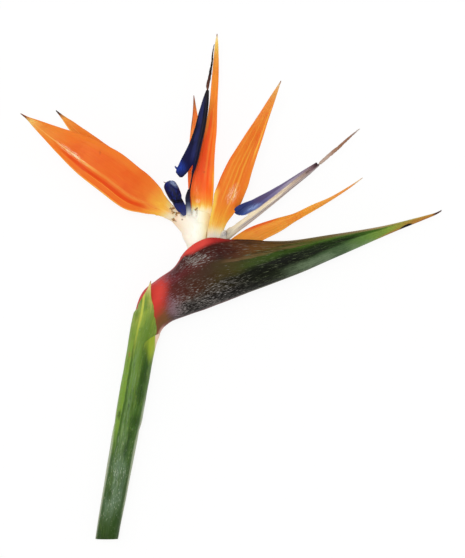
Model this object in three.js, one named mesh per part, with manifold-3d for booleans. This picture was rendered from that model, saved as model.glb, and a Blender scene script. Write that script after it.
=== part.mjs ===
// A cut bird of paradise flower (Strelitzia reginae) lying on its side, in millimetres, +Z up.
// The surface that it lies on is z = 0. The origin is on the flat spot under the spathe's
// flank, +Y runs up the flower and +X runs along the spathe's beak.
// The inflorescence is flat, so every organ follows the median plane or stands near or far of it:
// "near" is the upper side as it lies, "far" is the side towards the surface.
import * as THREE from "three";
import { mergeVertices } from "three/addons/utils/BufferGeometryUtils.js";
import Module from "manifold-3d";

const wasm = await Module();
wasm.setup();

// Driving dimensions, in millimetres and degrees.
const MEDIAN_Z = 12; // height of the plane of symmetry over the surface
const CLEARANCE = 0.3; // running gap between organs that only touch
const CUT_END_Y = -158.4; // the scape is cut square to +Y here
const THINNEST_BLADE = 0.7; // a sepal's thickness out on its blade
const SPATHE_WALL = 1.5;
const SHEATH_WALL = 0.75;
const SHEATH_MARGIN_ROOM = 6; // degrees kept clear past each margin of the sheath
const STYLE_RADIUS = 0.42; // inside the tongue's groove
const GROOVE_FLOOR = 0.55; // tissue left under the groove, as a share of the tongue's half depth

const degrees = THREE.MathUtils.degToRad;
const vector = (x, y, z) => new THREE.Vector3(x, y, z);

// A value that varies smoothly along a piece through [t, value] knots, with no overshoot.
function profile(knots) {
  const rise = knots.slice(1).map(([t, v], i) => (v - knots[i][1]) / (t - knots[i][0]));
  const slope = knots.map((_, i) => {
    if (i === 0) return rise[0];
    if (i === knots.length - 1) return rise[i - 1];
    const both = rise[i - 1] * rise[i];
    return both <= 0 ? 0 : (2 * both) / (rise[i - 1] + rise[i]);
  });
  return (t) => {
    let i = 0;
    while (i < knots.length - 2 && t > knots[i + 1][0]) i += 1;
    const [t0, v0] = knots[i];
    const [t1, v1] = knots[i + 1];
    const step = t1 - t0;
    const u = THREE.MathUtils.clamp((t - t0) / step, 0, 1);
    const blend = u * u * (3 - 2 * u);
    const leaving = u * (1 - u) * (1 - u) * step * slope[i];
    const arriving = u * u * (1 - u) * step * slope[i + 1];
    return v0 + (v1 - v0) * blend + leaving - arriving;
  };
}

const spineThrough = (points) =>
  new THREE.CatmullRomCurve3(points.map((p) => vector(...p)), false, "centripetal");

// Position, tangent, sideways direction (left of the tangent, seen from above) and the
// direction that faces up, with the last two turned about the tangent by roll degrees.
function frameAt(spine, t, roll = 0) {
  const origin = spine.getPointAt(t);
  const along = spine.getTangentAt(t);
  const left = vector(0, 0, 1).cross(along).normalize();
  const up = along.clone().cross(left);
  left.applyAxisAngle(along, degrees(roll));
  up.applyAxisAngle(along, degrees(roll));
  return { origin, along, left, up };
}

const place = ({ origin, left, up }, sideways, upwards) =>
  origin.clone().addScaledVector(left, sideways).addScaledVector(up, upwards);

function geometryOf(points, triangles) {
  const flat = new Float32Array(points.flatMap((p) => [p.x, p.y, p.z]));
  const geometry = new THREE.BufferGeometry();
  geometry.setAttribute("position", new THREE.BufferAttribute(flat, 3));
  geometry.setIndex(triangles.flat());
  return geometry;
}

// A closed three.js geometry as a solid, turned to face outwards.
function solidOf(geometry) {
  const bare = geometry.clone();
  bare.deleteAttribute("normal");
  bare.deleteAttribute("uv");
  const merged = mergeVertices(bare, 1e-4);
  const vertProperties = new Float32Array(merged.attributes.position.array);
  const triVerts = new Uint32Array(merged.index.array);
  const solid = new wasm.Manifold(new wasm.Mesh({ numProp: 3, vertProperties, triVerts }));
  if (solid.volume() >= 0) return solid;
  for (let i = 0; i < triVerts.length; i += 3) {
    [triVerts[i + 1], triVerts[i + 2]] = [triVerts[i + 2], triVerts[i + 1]];
  }
  return new wasm.Manifold(new wasm.Mesh({ numProp: 3, vertProperties, triVerts }));
}

// The largest body of a cut solid: what a cut leaves loose is dropped.
function largestBody(solid) {
  return solid.decompose().sort((a, b) => b.volume() - a.volume())[0];
}

// A solid through closed rings of points, with a fan over each end.
function loft(rings) {
  const count = rings[0].length;
  const points = rings.flat();
  const triangles = [];
  for (let i = 0; i < rings.length - 1; i += 1) {
    for (let j = 0; j < count; j += 1) {
      const a = i * count + j;
      const b = i * count + ((j + 1) % count);
      triangles.push([a, b, b + count], [a, b + count, a + count]);
    }
  }
  const middle = (ring) =>
    ring.reduce((sum, p) => sum.add(p), vector(0, 0, 0)).divideScalar(count);
  const first = points.push(middle(rings[0])) - 1;
  const last = points.push(middle(rings.at(-1))) - 1;
  const end = (rings.length - 1) * count;
  for (let j = 0; j < count; j += 1) {
    const next = (j + 1) % count;
    triangles.push([first, next, j], [last, end + j, end + next]);
  }
  return solidOf(geometryOf(points, triangles));
}

// A thin solid with two faces split into triangles alike. point(t, s, side) gives its surface,
// for t along it from 0 to 1, s across it from -1 to 1, and side 1 above or -1 below.
function blade(stations, across, point) {
  const points = [];
  for (const side of [1, -1]) {
    for (let i = 0; i <= stations; i += 1) {
      for (let j = 0; j <= across; j += 1) {
        points.push(point(i / stations, (2 * j) / across - 1, side));
      }
    }
  }
  const row = across + 1;
  const face = row * (stations + 1);
  const triangles = [];
  for (let i = 0; i < stations; i += 1) {
    for (let j = 0; j < across; j += 1) {
      const a = i * row + j;
      const b = a + row;
      triangles.push([a, b + 1, b], [a, a + 1, b + 1]);
      triangles.push([face + a, face + b, face + b + 1], [face + a, face + b + 1, face + a + 1]);
    }
    for (const [near, flip] of [[i * row, false], [i * row + across, true]]) {
      const wall = [near, near + row, near + row + face, near + face];
      if (flip) wall.reverse();
      triangles.push([wall[0], wall[1], wall[2]], [wall[0], wall[2], wall[3]]);
    }
  }
  for (let j = 0; j < across; j += 1) {
    for (const [near, flip] of [[j, true], [stations * row + j, false]]) {
      const wall = [near, near + 1, near + 1 + face, near + face];
      if (flip) wall.reverse();
      triangles.push([wall[0], wall[1], wall[2]], [wall[0], wall[2], wall[3]]);
    }
  }
  return solidOf(geometryOf(points, triangles));
}

// A round or oval stalk. wide is its half width across the median plane's face, deep its half
// width square to that, and grow adds to both.
function stalk({ spine, wide, deep, sides = 16, stations = 12 }, grow = 0) {
  const path = spineThrough(spine);
  const [halfWide, halfDeep] = [profile(wide), profile(deep ?? wide)];
  const even = Array.from({ length: stations + 1 }, (_, i) => i / stations);
  const stops = [...new Set([...even, ...wide.map(([t]) => t)])].sort((a, b) => a - b);
  const rings = stops.map((t) => {
    const frame = frameAt(path, t);
    if (t === 0) frame.origin.addScaledVector(frame.along, -grow);
    if (t === 1) frame.origin.addScaledVector(frame.along, grow);
    return Array.from({ length: sides }, (_, j) => {
      const angle = (2 * Math.PI * (j + 0.5)) / sides;
      const sideways = (halfWide(t) + grow) * Math.cos(angle);
      return place(frame, sideways, (halfDeep(t) + grow) * Math.sin(angle));
    });
  });
  return loft(rings);
}

// A leaf-like blade on its spine. half is its half width, thick its thickness on the midline,
// cup lifts both margins, and crease folds it along the line s = creaseAt. grow adds to every
// side but the ends.
function leaf(shape, grow = 0) {
  const { spine, half, thick, cup, crease, creaseAt = 0, roll, stations = 20, across = 6 } = shape;
  const path = spineThrough(spine);
  const [halfWidth, thickness, turn] = [profile(half), profile(thick), profile(roll)];
  const [lift, fold] = [profile(cup), profile(crease)];
  const softness = 0.15;
  return blade(stations, across, (t, s, side) => {
    const fromCrease = s - creaseAt;
    const bend = Math.hypot(fromCrease, softness);
    const rise = lift(t) * s * s + fold(t) * (bend - Math.hypot(creaseAt, softness));
    const slope = 2 * lift(t) * s + (fold(t) * fromCrease) / bend;
    const halfThick = Math.max(THINNEST_BLADE, thickness(t) * (1 - 0.45 * s * s)) / 2;
    const offset = (side * (halfThick + grow)) / Math.hypot(1, slope);
    const width = halfWidth(t) + grow;
    return place(frameAt(path, t, turn(t)), width * s - offset * slope, width * rise + offset);
  });
}

// The scape and, past its bend, the rachis that carries the flowers inside the spathe.
const SCAPE = {
  spine: [
    [-61.2, -169, 6.1], [-50.6, -109.8, 8.9], [-41.8, -61.8, 11.1], [-38.5, -44, 12],
    [-34.6, -29, 12], [-27.4, -17.6, 12], [-17, -9.6, 12], [-3, -3, 12], [11, 1.4, 12],
  ],
  wide: [
    [0, 6.65], [0.14, 7.1], [0.3, 7.65], [0.379, 7.85], [0.382, 6.7], [0.6, 6.7], [0.645, 6.7],
    [0.655, 5.6], [0.76, 5.4], [0.85, 4.6], [0.93, 3.8], [1, 2.6],
  ],
  sides: 16,
  stations: 28,
};

// The sheathing bract round the top of the scape. A station gives its height up the scape, its
// right and left margins as angles from the near side towards +X, and how far the wrap winds out.
const SHEATH = {
  axis: [[-47.4, -93, 9.6], [-41.9, -61.8, 11.1], [-37.6, -39, 12], [-32.9, -21, 12], [-31.2, -3.4, 12]],
  right: [[0, 58], [0.3, 62], [0.58, 66], [0.672, 52], [0.705, 42], [0.758, 29], [0.82, 16],
    [0.885, 0], [0.937, -5], [1, -5]],
  left: [[0, -290], [0.12, -292], [0.3, -325], [0.46, -334], [0.55, -284], [0.65, -200],
    [0.79, -105], [0.865, -54], [0.92, -33], [0.95, -21], [0.985, -13.5], [1, -10]],
  inner: [[0, 7.2], [0.5, 7.2], [0.6, 7.7], [0.68, 8.25], [0.75, 8.7], [0.85, 9.1], [0.93, 9], [1, 8.8]],
  winding: [[0, 0.1], [0.12, 1.15], [0.8, 1.15], [1, 0.2]],
};

// The spathe in side view, from its base round the scape to the tip of its beak: the keel below,
// the margin above, its half width, and half the gap between its two margins.
const SPATHE = {
  keel: [
    [-30.6, -42.4], [-28.4, -36.2], [-25.2, -30.6], [-20.4, -27], [-12, -23.7], [-1.2, -20],
    [12, -15.1], [29.4, -8.4], [54.6, 1.1], [81, 12.3], [110.4, 25.1], [127.2, 31.9], [141.7, 38.9],
  ],
  margin: [
    [-45.2, -38.4], [-41.4, -23.4], [-36, -9.9], [-28.2, -3], [-19.2, 4.4], [-11.4, 18.6],
    [0.2, 25.8], [18.3, 23.1], [46, 20.4], [76.8, 24.4], [108, 29.7], [126, 34.5], [141.9, 39.6],
  ],
  half: [
    [0, 7.5], [1, 8.2], [2, 9.3], [3, 10.4], [4, 11.5], [5, 12.3], [6, 12.5], [7, 11.4], [8, 8.9],
    [9, 6.2], [10, 3.2], [11, 1.5], [12, 0.4],
  ],
  gap: [
    [0, 0.4], [3, 0.45], [4, 1.4], [4.6, 4.6], [5, 6.4], [6, 6.9], [6.6, 6.6], [7, 5.4], [7.5, 3.4],
    [8, 1.3], [9, 0.6], [12, 0.4],
  ],
  cavityEnd: 9.6, // the beak is solid past this station
};

// The fleshy white tubes that the sepals stand on: a trunk from the rachis, and an arm each.
const FLOWER_A_TUBE = [
  {
    spine: [[-3.4, -4, 12], [-4.2, 10.4, 12.6], [-5.1, 19.2, 13], [-6, 25.2, 13], [-6.9, 30.6, 13]],
    wide: [[0, 4.6], [0.4, 5.2], [0.66, 6.3], [0.85, 8.1], [1, 8.2]],
    deep: [[0, 4.2], [0.66, 4.5], [1, 4]],
    stations: 8,
  },
  {
    spine: [[-7, 27, 13.6], [-12.6, 32, 15], [-18.2, 36.1, 16]],
    wide: [[0, 7], [0.5, 5.6], [1, 4.2]],
    deep: [[0, 3.4], [1, 2.3]],
    stations: 4,
    sides: 14,
  },
  {
    spine: [[-7, 27, 12], [-12.6, 32, 9.8], [-18.6, 36.4, 8.2]],
    wide: [[0, 6.4], [0.5, 5], [1, 3.7]],
    deep: [[0, 3.4], [1, 2.1]],
    stations: 4,
    sides: 14,
  },
  {
    spine: [[-5.2, 26, 12.6], [-3.4, 33, 12.4], [-2, 38.6, 12.2]],
    wide: [[0, 7], [0.5, 6.6], [1, 5.6]],
    deep: [[0, 3.8], [1, 2]],
    stations: 4,
    sides: 14,
  },
  {
    spine: [[-9, 28.6, 13.6], [-10.2, 33, 14], [-10.6, 36.4, 14.4]],
    wide: [[0, 4.6], [1, 2.6]],
    deep: [[0, 3.6], [1, 2.4]],
    stations: 4,
    sides: 12,
  },
];
const FLOWER_B_TUBE = [
  {
    spine: [[6.2, -3, 12], [7.4, 6, 12], [8.4, 12, 12], [8.6, 16.4, 12]],
    wide: [[0, 3.6], [0.4, 4.6], [0.8, 5.4], [1, 4.6]],
    deep: [[0, 3.6], [0.5, 4.6], [1, 3.8]],
    sides: 14,
    stations: 7,
  },
  {
    spine: [[8.4, 8.6, 12], [12.6, 12.2, 11.6], [16.4, 15.6, 11.2]],
    wide: [[0, 4], [1, 3.4]],
    deep: [[0, 3], [1, 1.9]],
    stations: 4,
    sides: 12,
  },
];

// The six orange sepals. Each flower has a near, a far and a median one.
const SEPALS = {
  flower_a_sepal_near: {
    spine: [[-15.8, 34.4, 15.6], [-19.6, 36.7, 16.4], [-34.3, 46.3, 19], [-44.6, 52.3, 21],
      [-56.5, 61.6, 23.2], [-69, 69.8, 25], [-94.3, 86.1, 27], [-110.2, 96.6, 27.6]],
    half: [[0, 4], [0.05, 4.6], [0.17, 9.4], [0.29, 12.5], [0.43, 12.6], [0.57, 11.4], [0.7, 8.3],
      [0.83, 4.4], [0.91, 2.1], [0.96, 0.8], [1, 0.4]],
    thick: [[0, 4.2], [0.06, 3.2], [0.16, 1.3], [0.3, 0.9], [1, 0.8]],
    cup: [[0, 0.05], [0.3, 0.2], [0.7, 0.24], [1, 0.1]],
    crease: [[0, 0], [0.15, -0.26], [0.7, -0.3], [1, -0.1]],
    creaseAt: 0.28,
    roll: [[0, 0], [0.3, -8], [1, -14]],
  },
  flower_a_sepal_far: {
    spine: [[-16.4, 34.8, 8.8], [-20.4, 37.6, 7.8], [-39.1, 52.3, 6], [-54.8, 66.1, 5.3],
      [-66.2, 76.8, 4.4], [-78.9, 88.7, 2.2], [-90, 99.3, 0.32]],
    half: [[0, 3.5], [0.06, 4], [0.28, 8.6], [0.45, 8.6], [0.62, 6.2], [0.74, 4.8], [0.86, 3],
      [0.94, 1.2], [1, 0.4]],
    thick: [[0, 3.8], [0.08, 2.6], [0.2, 1.2], [0.3, 0.9], [1, 0.8]],
    cup: [[0, -0.05], [0.4, -0.2], [1, -0.1]],
    crease: [[0, 0], [0.2, 0.25], [0.7, 0.25], [1, 0]],
    creaseAt: 0.1,
    roll: [[0, 0], [0.25, 26], [0.8, 30], [1, 20]],
  },
  flower_a_sepal_median: {
    spine: [[-2.4, 36, 12.2], [-1.9, 43, 12], [-1.9, 52.3, 11.6], [-1.1, 61.3, 11.4],
      [1.6, 77.9, 12], [3.4, 88, 12.6], [6.1, 117.8, 14.6], [7.5, 144.8, 16.4]],
    half: [[0, 5.5], [0.06, 5.8], [0.15, 6.6], [0.23, 6.2], [0.31, 5.1], [0.39, 4.3], [0.48, 3.3],
      [0.62, 2.5], [0.77, 2], [0.94, 0.9], [1, 0.4]],
    thick: [[0, 3.6], [0.07, 2.6], [0.16, 1.2], [0.3, 0.9], [1, 0.8]],
    cup: [[0, 0], [0.2, 0.1], [1, 0.1]],
    crease: [[0, 0], [0.15, -0.3], [0.5, -0.6], [1, -0.6]],
    creaseAt: -0.2,
    roll: [[0, 0], [0.3, 6], [1, 10]],
  },
  flower_b_sepal_near: {
    spine: [[4.8, 14.6, 14], [5.5, 24.2, 15.6], [7.8, 32.9, 17.6], [11.2, 40.7, 19.2],
      [16.9, 55.2, 21.4], [20.7, 65.3, 23], [29.7, 84.4, 25.4], [39.1, 103.2, 27], [45.3, 116.1, 27.6]],
    half: [[0, 3.2], [0.08, 3.9], [0.16, 4.5], [0.24, 6.8], [0.31, 8.6], [0.385, 8.7], [0.49, 7.9],
      [0.58, 6.6], [0.68, 5.2], [0.775, 3.6], [0.875, 2], [0.94, 1], [1, 0.4]],
    thick: [[0, 3], [0.12, 2.6], [0.22, 1.3], [0.34, 0.9], [1, 0.8]],
    cup: [[0, 0], [0.3, -0.16], [0.7, -0.1], [1, 0]],
    crease: [[0, 0], [0.35, 0.12], [0.6, 0.36], [1, 0.3]],
    creaseAt: -0.45,
    roll: [[0, 0], [0.3, 8], [1, 4]],
  },
  flower_b_sepal_far: {
    spine: [[3.8, 14.6, 9.8], [1.8, 22, 8], [-0.9, 29.4, 6.3], [-4.5, 46.8, 5], [-6, 63, 4.6],
      [-6, 78, 4.6], [-6, 90, 5], [-6.3, 99, 5.4], [-6.9, 108.2, 5.8]],
    half: [[0, 2.6], [0.08, 3], [0.18, 4], [0.36, 5.2], [0.52, 4.6], [0.67, 3.8], [0.79, 2.8],
      [0.88, 1.5], [0.94, 0.8], [1, 0.4]],
    thick: [[0, 2.4], [0.12, 1.8], [0.25, 1], [1, 0.8]],
    cup: [[0, 0], [0.3, -0.2], [1, -0.2]],
    crease: [[0, 0], [0.3, 0.2], [0.7, 0.4], [1, 0.3]],
    creaseAt: 0.2,
    roll: [[0, 0], [0.4, -6], [1, -10]],
  },
  flower_b_sepal_median: {
    spine: [[13, 13, 11.2], [20, 18.2, 10.7], [30.8, 24.8, 10.4], [42, 29.4, 10.4], [54.7, 35, 10.6],
      [64.8, 40.3, 11], [75.3, 46, 11.4], [87.1, 53.3, 12], [94.6, 58.6, 12.5]],
    half: [[0, 3.4], [0.09, 5], [0.17, 6.2], [0.25, 5.8], [0.38, 4.1], [0.51, 2.3], [0.63, 1.85],
      [0.76, 1], [0.9, 0.55], [1, 0.4]],
    thick: [[0, 2.6], [0.1, 1.6], [0.22, 0.9], [1, 0.8]],
    cup: [[0, 0], [0.4, 0.08], [1, 0.1]],
    crease: [[0, 0], [0.2, -0.14], [0.6, -0.4], [1, -0.4]],
    creaseAt: 0.1,
    roll: [[0, 0], [0.4, -4], [1, -6]],
  },
};

// The two arrow-shaped blue tongues, each two petals fused along a keeled shaft that carries a
// groove on its inner side, with a barbed wing on each flank. wing gives the near one; the far
// one is its mirror image in the shaft's own plane, and style lies in the groove and leaves it.
const TONGUES = {
  flower_a: {
    shaft: [[-10.5, 34.6, 14.2], [-10.2, 43.2, 15.2], [-9.6, 49.2, 16.6], [-8.4, 55.8, 18.2],
      [-7.3, 61.8, 19.2], [-5.8, 69, 20], [-3.8, 78, 20.4], [-1.7, 87, 20.5], [0.3, 97.8, 20.5],
      [2.1, 110, 20.5]],
    wide: [[0, 1.6], [0.12, 1.4], [0.3, 1.1], [0.37, 1.6], [0.45, 2], [0.8, 1.8], [1, 1.1]],
    deep: [[0, 1.8], [0.3, 1.5], [0.45, 2], [0.8, 1.7], [1, 1.1]],
    headFrom: 0.36,
    inner: 1,
    wing: [[-16.6, 61.3, 24.9], [-13.4, 65, 24.2], [-9.8, 71, 23.3], [-6.5, 78.2, 22.6],
      [-3.5, 87.4, 21.9], [-1.4, 96.4, 21.4], [0.4, 104.2, 21], [1.8, 109.6, 20.7]],
    wingHalf: [[0, 1.8], [0.07, 3.4], [0.16, 4.2], [0.3, 4], [0.5, 3.1], [0.7, 2.4], [0.88, 1.5], [1, 0.7]],
    wingRoll: [[0, 42], [0.4, 34], [1, 20]],
    stigma: [[2.1, 110, 20.5], [1.9, 113.4, 20.6], [2.5, 117.6, 20.8], [3.7, 124.2, 21.1],
      [4.3, 128, 21.4], [4.3, 131, 21.6], [4.9, 134.6, 21.8], [5.5, 138.2, 22]],
    stigmaRadius: [[0, 0.42], [0.1, 1], [0.35, 0.9], [0.6, 0.6], [1, 0.36]],
  },
  flower_b: {
    shaft: [[9.6, 20.4, 12.6], [16.6, 27, 12.8], [24, 32.4, 13], [33, 39, 13], [42, 45.9, 13],
      [51, 53.1, 13], [60, 60, 13], [68.2, 66.5, 13]],
    wide: [[0, 2.2], [0.12, 2.9], [0.3, 2.7], [0.45, 2.3], [0.7, 1.9], [0.88, 1.5], [1, 1.1]],
    deep: [[0, 1.8], [0.15, 2.1], [0.5, 2.1], [0.85, 1.7], [1, 1.1]],
    headFrom: 0.12,
    inner: 1,
    wing: [[18.6, 39.7, 18.3], [23.4, 39.7, 17.8], [28.2, 41.6, 17], [34.2, 44.9, 16.2],
      [42, 49.7, 15.2], [51, 55.7, 14.4], [60, 61.9, 13.8], [67, 66.9, 13.2]],
    wingHalf: [[0, 1.8], [0.06, 3.6], [0.11, 4.4], [0.22, 3.9], [0.4, 2.8], [0.6, 1.9], [0.85, 1.2],
      [1, 0.6]],
    wingRoll: [[0, 42], [0.4, 36], [1, 20]],
    stigma: [[68.2, 66.5, 13], [70.2, 68.4, 13], [75, 72.6, 13.2], [79.8, 76.5, 13.5],
      [84, 80.5, 13.8], [88.2, 84.2, 14.2], [92.7, 88, 14.6]],
    stigmaRadius: [[0, 0.42], [0.08, 1], [0.3, 1.15], [0.6, 0.85], [1, 0.36]],
  },
};

// The third, short petal of each flower, which hoods the nectary.
const NECTARY_PETALS = {
  flower_a_nectary_petal: {
    spine: [[-10.8, 33.6, 17.2], [-12.4, 38.4, 18.6], [-14.8, 43, 20], [-18, 48.8, 21],
      [-21.7, 54.8, 20.6]],
    half: [[0, 1.7], [0.25, 2.7], [0.55, 3.7], [0.8, 3.9], [0.93, 3], [1, 1.6]],
    thick: [[0, 1.8], [0.5, 1.4], [1, 1.1]],
    cup: [[0, -0.3], [0.5, -0.5], [1, -0.4]],
    crease: [[0, 0], [1, 0]],
    roll: [[0, 0], [1, 0]],
    stations: 14,
  },
  flower_b_nectary_petal: {
    spine: [[11.6, 17.6, 16.6], [11.2, 22, 17], [11.2, 25.4, 17.6], [12.2, 28.4, 17.6]],
    half: [[0, 1.2], [0.5, 2.1], [0.8, 1.9], [1, 0.7]],
    thick: [[0, 1.3], [1, 0.9]],
    cup: [[0, -0.3], [1, -0.4]],
    crease: [[0, 0], [1, 0]],
    roll: [[0, 0], [1, 0]],
    stations: 8,
    across: 6,
  },
};

const MATERIALS = {
  scape: { color: 0x4d7a33, roughness: 0.55 },
  sheath: { color: 0x86a53c, roughness: 0.5 },
  spathe: { color: 0x3a3a22, roughness: 0.5 },
  tube: { color: 0xfaf3dc, roughness: 0.4 },
  sepal: { color: 0xf0741f, roughness: 0.38 },
  tongue: { color: 0x25307e, roughness: 0.45 },
  nectary: { color: 0x161a45, roughness: 0.4 },
  stamens: { color: 0xeee0bb, roughness: 0.7 },
  style: { color: 0x5b3b2c, roughness: 0.65 },
};

// Everything on the +Z side of the surface, and everything on the flower's side of the cut.
function halfSpace(offset) {
  return solidOf(new THREE.BoxGeometry(600, 600, 300).translate(...offset));
}
const aboveSurface = halfSpace([0, 0, 150]);
const aboveCut = halfSpace([0, CUT_END_Y + 300, 0]);

const union = (solids) => solids.reduce((sum, solid) => sum.add(solid));
const cutClear = (solid, ...others) =>
  largestBody(others.reduce((left, other) => left.subtract(other), solid));

// The sheath, or the stretch of its wrap between two shares of the way round.
function sheath(grow = 0, widen = 0, from = 0, to = 1) {
  const axis = spineThrough(SHEATH.axis);
  const { right, left, inner, winding } = Object.fromEntries(
    ["right", "left", "inner", "winding"].map((key) => [key, profile(SHEATH[key])]),
  );
  return blade(28, Math.round(18 * (to - from)), (t, s, side) => {
    const share = THREE.MathUtils.lerp(from, to, (s + 1) / 2);
    const angle = THREE.MathUtils.lerp(right(t) + widen, left(t) - widen, share);
    const turns = (right(t) - angle) / 360;
    const middle = inner(t) + SHEATH_WALL / 2 + winding(t) * turns;
    const radius = middle + side * (SHEATH_WALL / 2 + grow);
    const across = radius * Math.sin(degrees(angle));
    return place(frameAt(axis, t), -across, radius * Math.cos(degrees(angle)));
  });
}

// One section of the spathe at a station: its keel, the way from keel to margin, and its sizes.
function spatheSection(station) {
  const at = (points) => {
    const curve = spineThrough(points.map(([x, y]) => [x, y, MEDIAN_Z]));
    return curve.getPoint(station / (points.length - 1));
  };
  const keel = at(SPATHE.keel);
  const rise = at(SPATHE.margin).sub(keel);
  return {
    keel,
    height: rise.length(),
    rise: rise.normalize(),
    half: profile(SPATHE.half)(station),
    gap: profile(SPATHE.gap)(station),
  };
}

// The oval outline of a section, from the margin on the far side round the keel to the near one.
function spatheRing({ keel, rise, height, half }, inset, sides) {
  const middle = height / 2;
  return Array.from({ length: sides }, (_, j) => {
    const angle = (2 * Math.PI * (j + 0.5)) / sides;
    const upwards = middle - (middle - inset) * Math.cos(angle);
    const point = keel.clone().addScaledVector(rise, upwards);
    return point.setZ(MEDIAN_Z + (half - inset) * Math.sin(angle));
  });
}

function spathe() {
  const lastStation = SPATHE.keel.length - 1;
  const outside = [];
  const inside = [];
  const slit = [];
  for (let i = 0; i <= 32; i += 1) {
    outside.push(spatheRing(spatheSection((lastStation * i) / 32), 0, 20));
  }
  for (let i = 0; i <= 20; i += 1) {
    const section = spatheSection((SPATHE.cavityEnd * i) / 20);
    const { keel, rise, height, gap } = section;
    inside.push(spatheRing(section, SPATHE_WALL, 16));
    slit.push(
      [[0.5, -1], [1.3, -1], [1.3, 1], [0.5, 1]].map(([share, side]) =>
        keel.clone().addScaledVector(rise, height * share).setZ(MEDIAN_Z + side * gap),
      ),
    );
  }
  const mouth = stalk({ spine: [[-38.6, -46, 12], [-36.2, -36, 12]], wide: [[0, 6], [1, 6]], stations: 1 });
  return loft(outside).subtract(loft(inside)).subtract(loft(slit)).subtract(mouth);
}

// A tongue with its groove cut, the stamens and the style that lie in the groove.
function tongueOrgans(shape) {
  const { shaft, wide, deep, headFrom, inner } = shape;
  const { wing, wingHalf, wingRoll, stigma, stigmaRadius } = shape;
  const path = spineThrough(shaft);
  const [halfWide, halfDeep] = [profile(wide), profile(deep)];
  const shaftPlane = (t) => path.getPointAt(t).z;
  const onGroove = (share, sideways) => {
    const frame = frameAt(path, share);
    return place(frame, sideways * halfWide(share), 0).toArray();
  };
  const steps = (from, to, count) =>
    Array.from({ length: count + 1 }, (_, i) => from + ((to - from) * i) / count);
  const groove = loft(
    steps(headFrom, 1, 14).map((t) => {
      const frame = frameAt(path, t);
      const floor = -halfWide(t) * GROOVE_FLOOR;
      const halfOpen = Math.min(halfDeep(t) - 0.5, inner + 0.15);
      return [[floor, -halfOpen], [6, -halfOpen - 0.2], [6, halfOpen + 0.2], [floor, halfOpen]].map(
        ([sideways, upwards]) => place(frame, sideways, upwards),
      );
    }),
  );
  const mouthRadius = [[0, 0.75], [1, 0.75]];
  const mouth = { spine: [onGroove(0.985, 0), stigma[1]], wide: mouthRadius, stations: 1, sides: 8 };
  const nearWing = {
    spine: wing, half: wingHalf, thick: [[0, 0.8], [1, 0.8]], cup: [[0, 0.12], [1, 0]],
    crease: [[0, 0], [1, 0]], roll: wingRoll, stations: 14, across: 4,
  };
  const farSpine = wing.map(([x, y, z], i) => {
    const plane = shaftPlane(Math.min(1, headFrom + ((1 - headFrom) * i) / (wing.length - 1)));
    return [x, y, 2 * plane - z];
  });
  const farWing = {
    ...nearWing, spine: farSpine, roll: wingRoll.map(([t, turn]) => [t, -turn]), cup: [[0, -0.12], [1, 0]],
  };
  const body = stalk({ spine: shaft, wide, deep, sides: 10, stations: 18 });
  const tongue = union([body, leaf(nearWing), leaf(farWing)]).subtract(groove).subtract(stalk(mouth));
  const styleRun = steps(headFrom + 0.03, 0.97, 9).map((t) => onGroove(t, 0));
  const styleLength = spineThrough([...styleRun, ...stigma.slice(1)]).getLength();
  const stigmaFrom = 1 - spineThrough(stigma).getLength() / styleLength;
  const style = stalk({
    spine: [...styleRun, ...stigma.slice(1)],
    wide: [[0, STYLE_RADIUS], [stigmaFrom, STYLE_RADIUS],
      ...stigmaRadius.slice(1).map(([t, r]) => [stigmaFrom + (1 - stigmaFrom) * t, r])],
    sides: 6,
    stations: 26,
  });
  return { tongue: largestBody(tongue), style, path, halfWide, inner, headFrom };
}

// Five slender anthers side by side, lying in the groove over the style.
function stamens({ path, halfWide, inner, headFrom }) {
  const [from, to] = [headFrom + 0.06, 0.8];
  const anthers = 5;
  return blade(8, anthers * 2, (t, s, side) => {
    const at = from + (to - from) * t;
    const ripple = 0.16 * Math.cos(Math.PI * anthers * (s + 1)) - 0.16;
    const ends = Math.min(1, 0.5 + 6 * t * (1 - t));
    const height = Math.max(1.25, halfWide(at) * 0.62) + side * (0.4 + ripple * 0.5);
    return place(frameAt(path, at), height, s * (inner - 0.2) * ends * 0.9);
  });
}

const solids = {};
const materialOf = {};
function keep(name, material, solid) {
  solids[name] = solid;
  materialOf[name] = material;
}

const rachis = stalk(SCAPE, CLEARANCE);
keep("scape", "scape", largestBody(stalk(SCAPE).intersect(aboveSurface).intersect(aboveCut)));
keep("sheath", "sheath", sheath());
const aroundSheath = union(
  [0, SHEATH_MARGIN_ROOM].flatMap((room) => [
    sheath(CLEARANCE, room, 0, 5 / 9),
    sheath(CLEARANCE, room, 4 / 9, 1),
  ]),
);
keep("spathe", "spathe", cutClear(spathe().intersect(aboveSurface), rachis, aroundSheath));

const tubeA = union(FLOWER_A_TUBE.map((part) => stalk(part)));
const tubeB = union(FLOWER_B_TUBE.map((part) => stalk(part)));
const aroundTubeA = union(FLOWER_A_TUBE.map((part) => stalk(part, CLEARANCE)));
const aroundTubeB = union(FLOWER_B_TUBE.map((part) => stalk(part, CLEARANCE)));
keep("flower_a_tube", "tube", cutClear(tubeA, rachis));
keep("flower_b_tube", "tube", cutClear(tubeB, rachis, aroundTubeA));

for (const [name, shape] of Object.entries(SEPALS)) {
  keep(name, "sepal", cutClear(leaf(shape).intersect(aboveSurface), aroundTubeA, aroundTubeB));
}
const aroundSepals = union(
  ["flower_a_sepal_median", "flower_b_sepal_near"].map((name) => leaf(SEPALS[name], CLEARANCE)),
);
for (const [flower, shape] of Object.entries(TONGUES)) {
  const organs = tongueOrgans(shape);
  const around = [aroundTubeA, aroundTubeB, aroundSepals];
  keep(`${flower}_tongue`, "tongue", cutClear(organs.tongue, ...around));
  keep(`${flower}_style`, "style", organs.style);
  keep(`${flower}_stamens`, "stamens", stamens(organs));
}
for (const [name, shape] of Object.entries(NECTARY_PETALS)) {
  keep(name, "nectary", cutClear(leaf(shape), aroundTubeA, aroundTubeB, aroundSepals));
}

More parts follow.
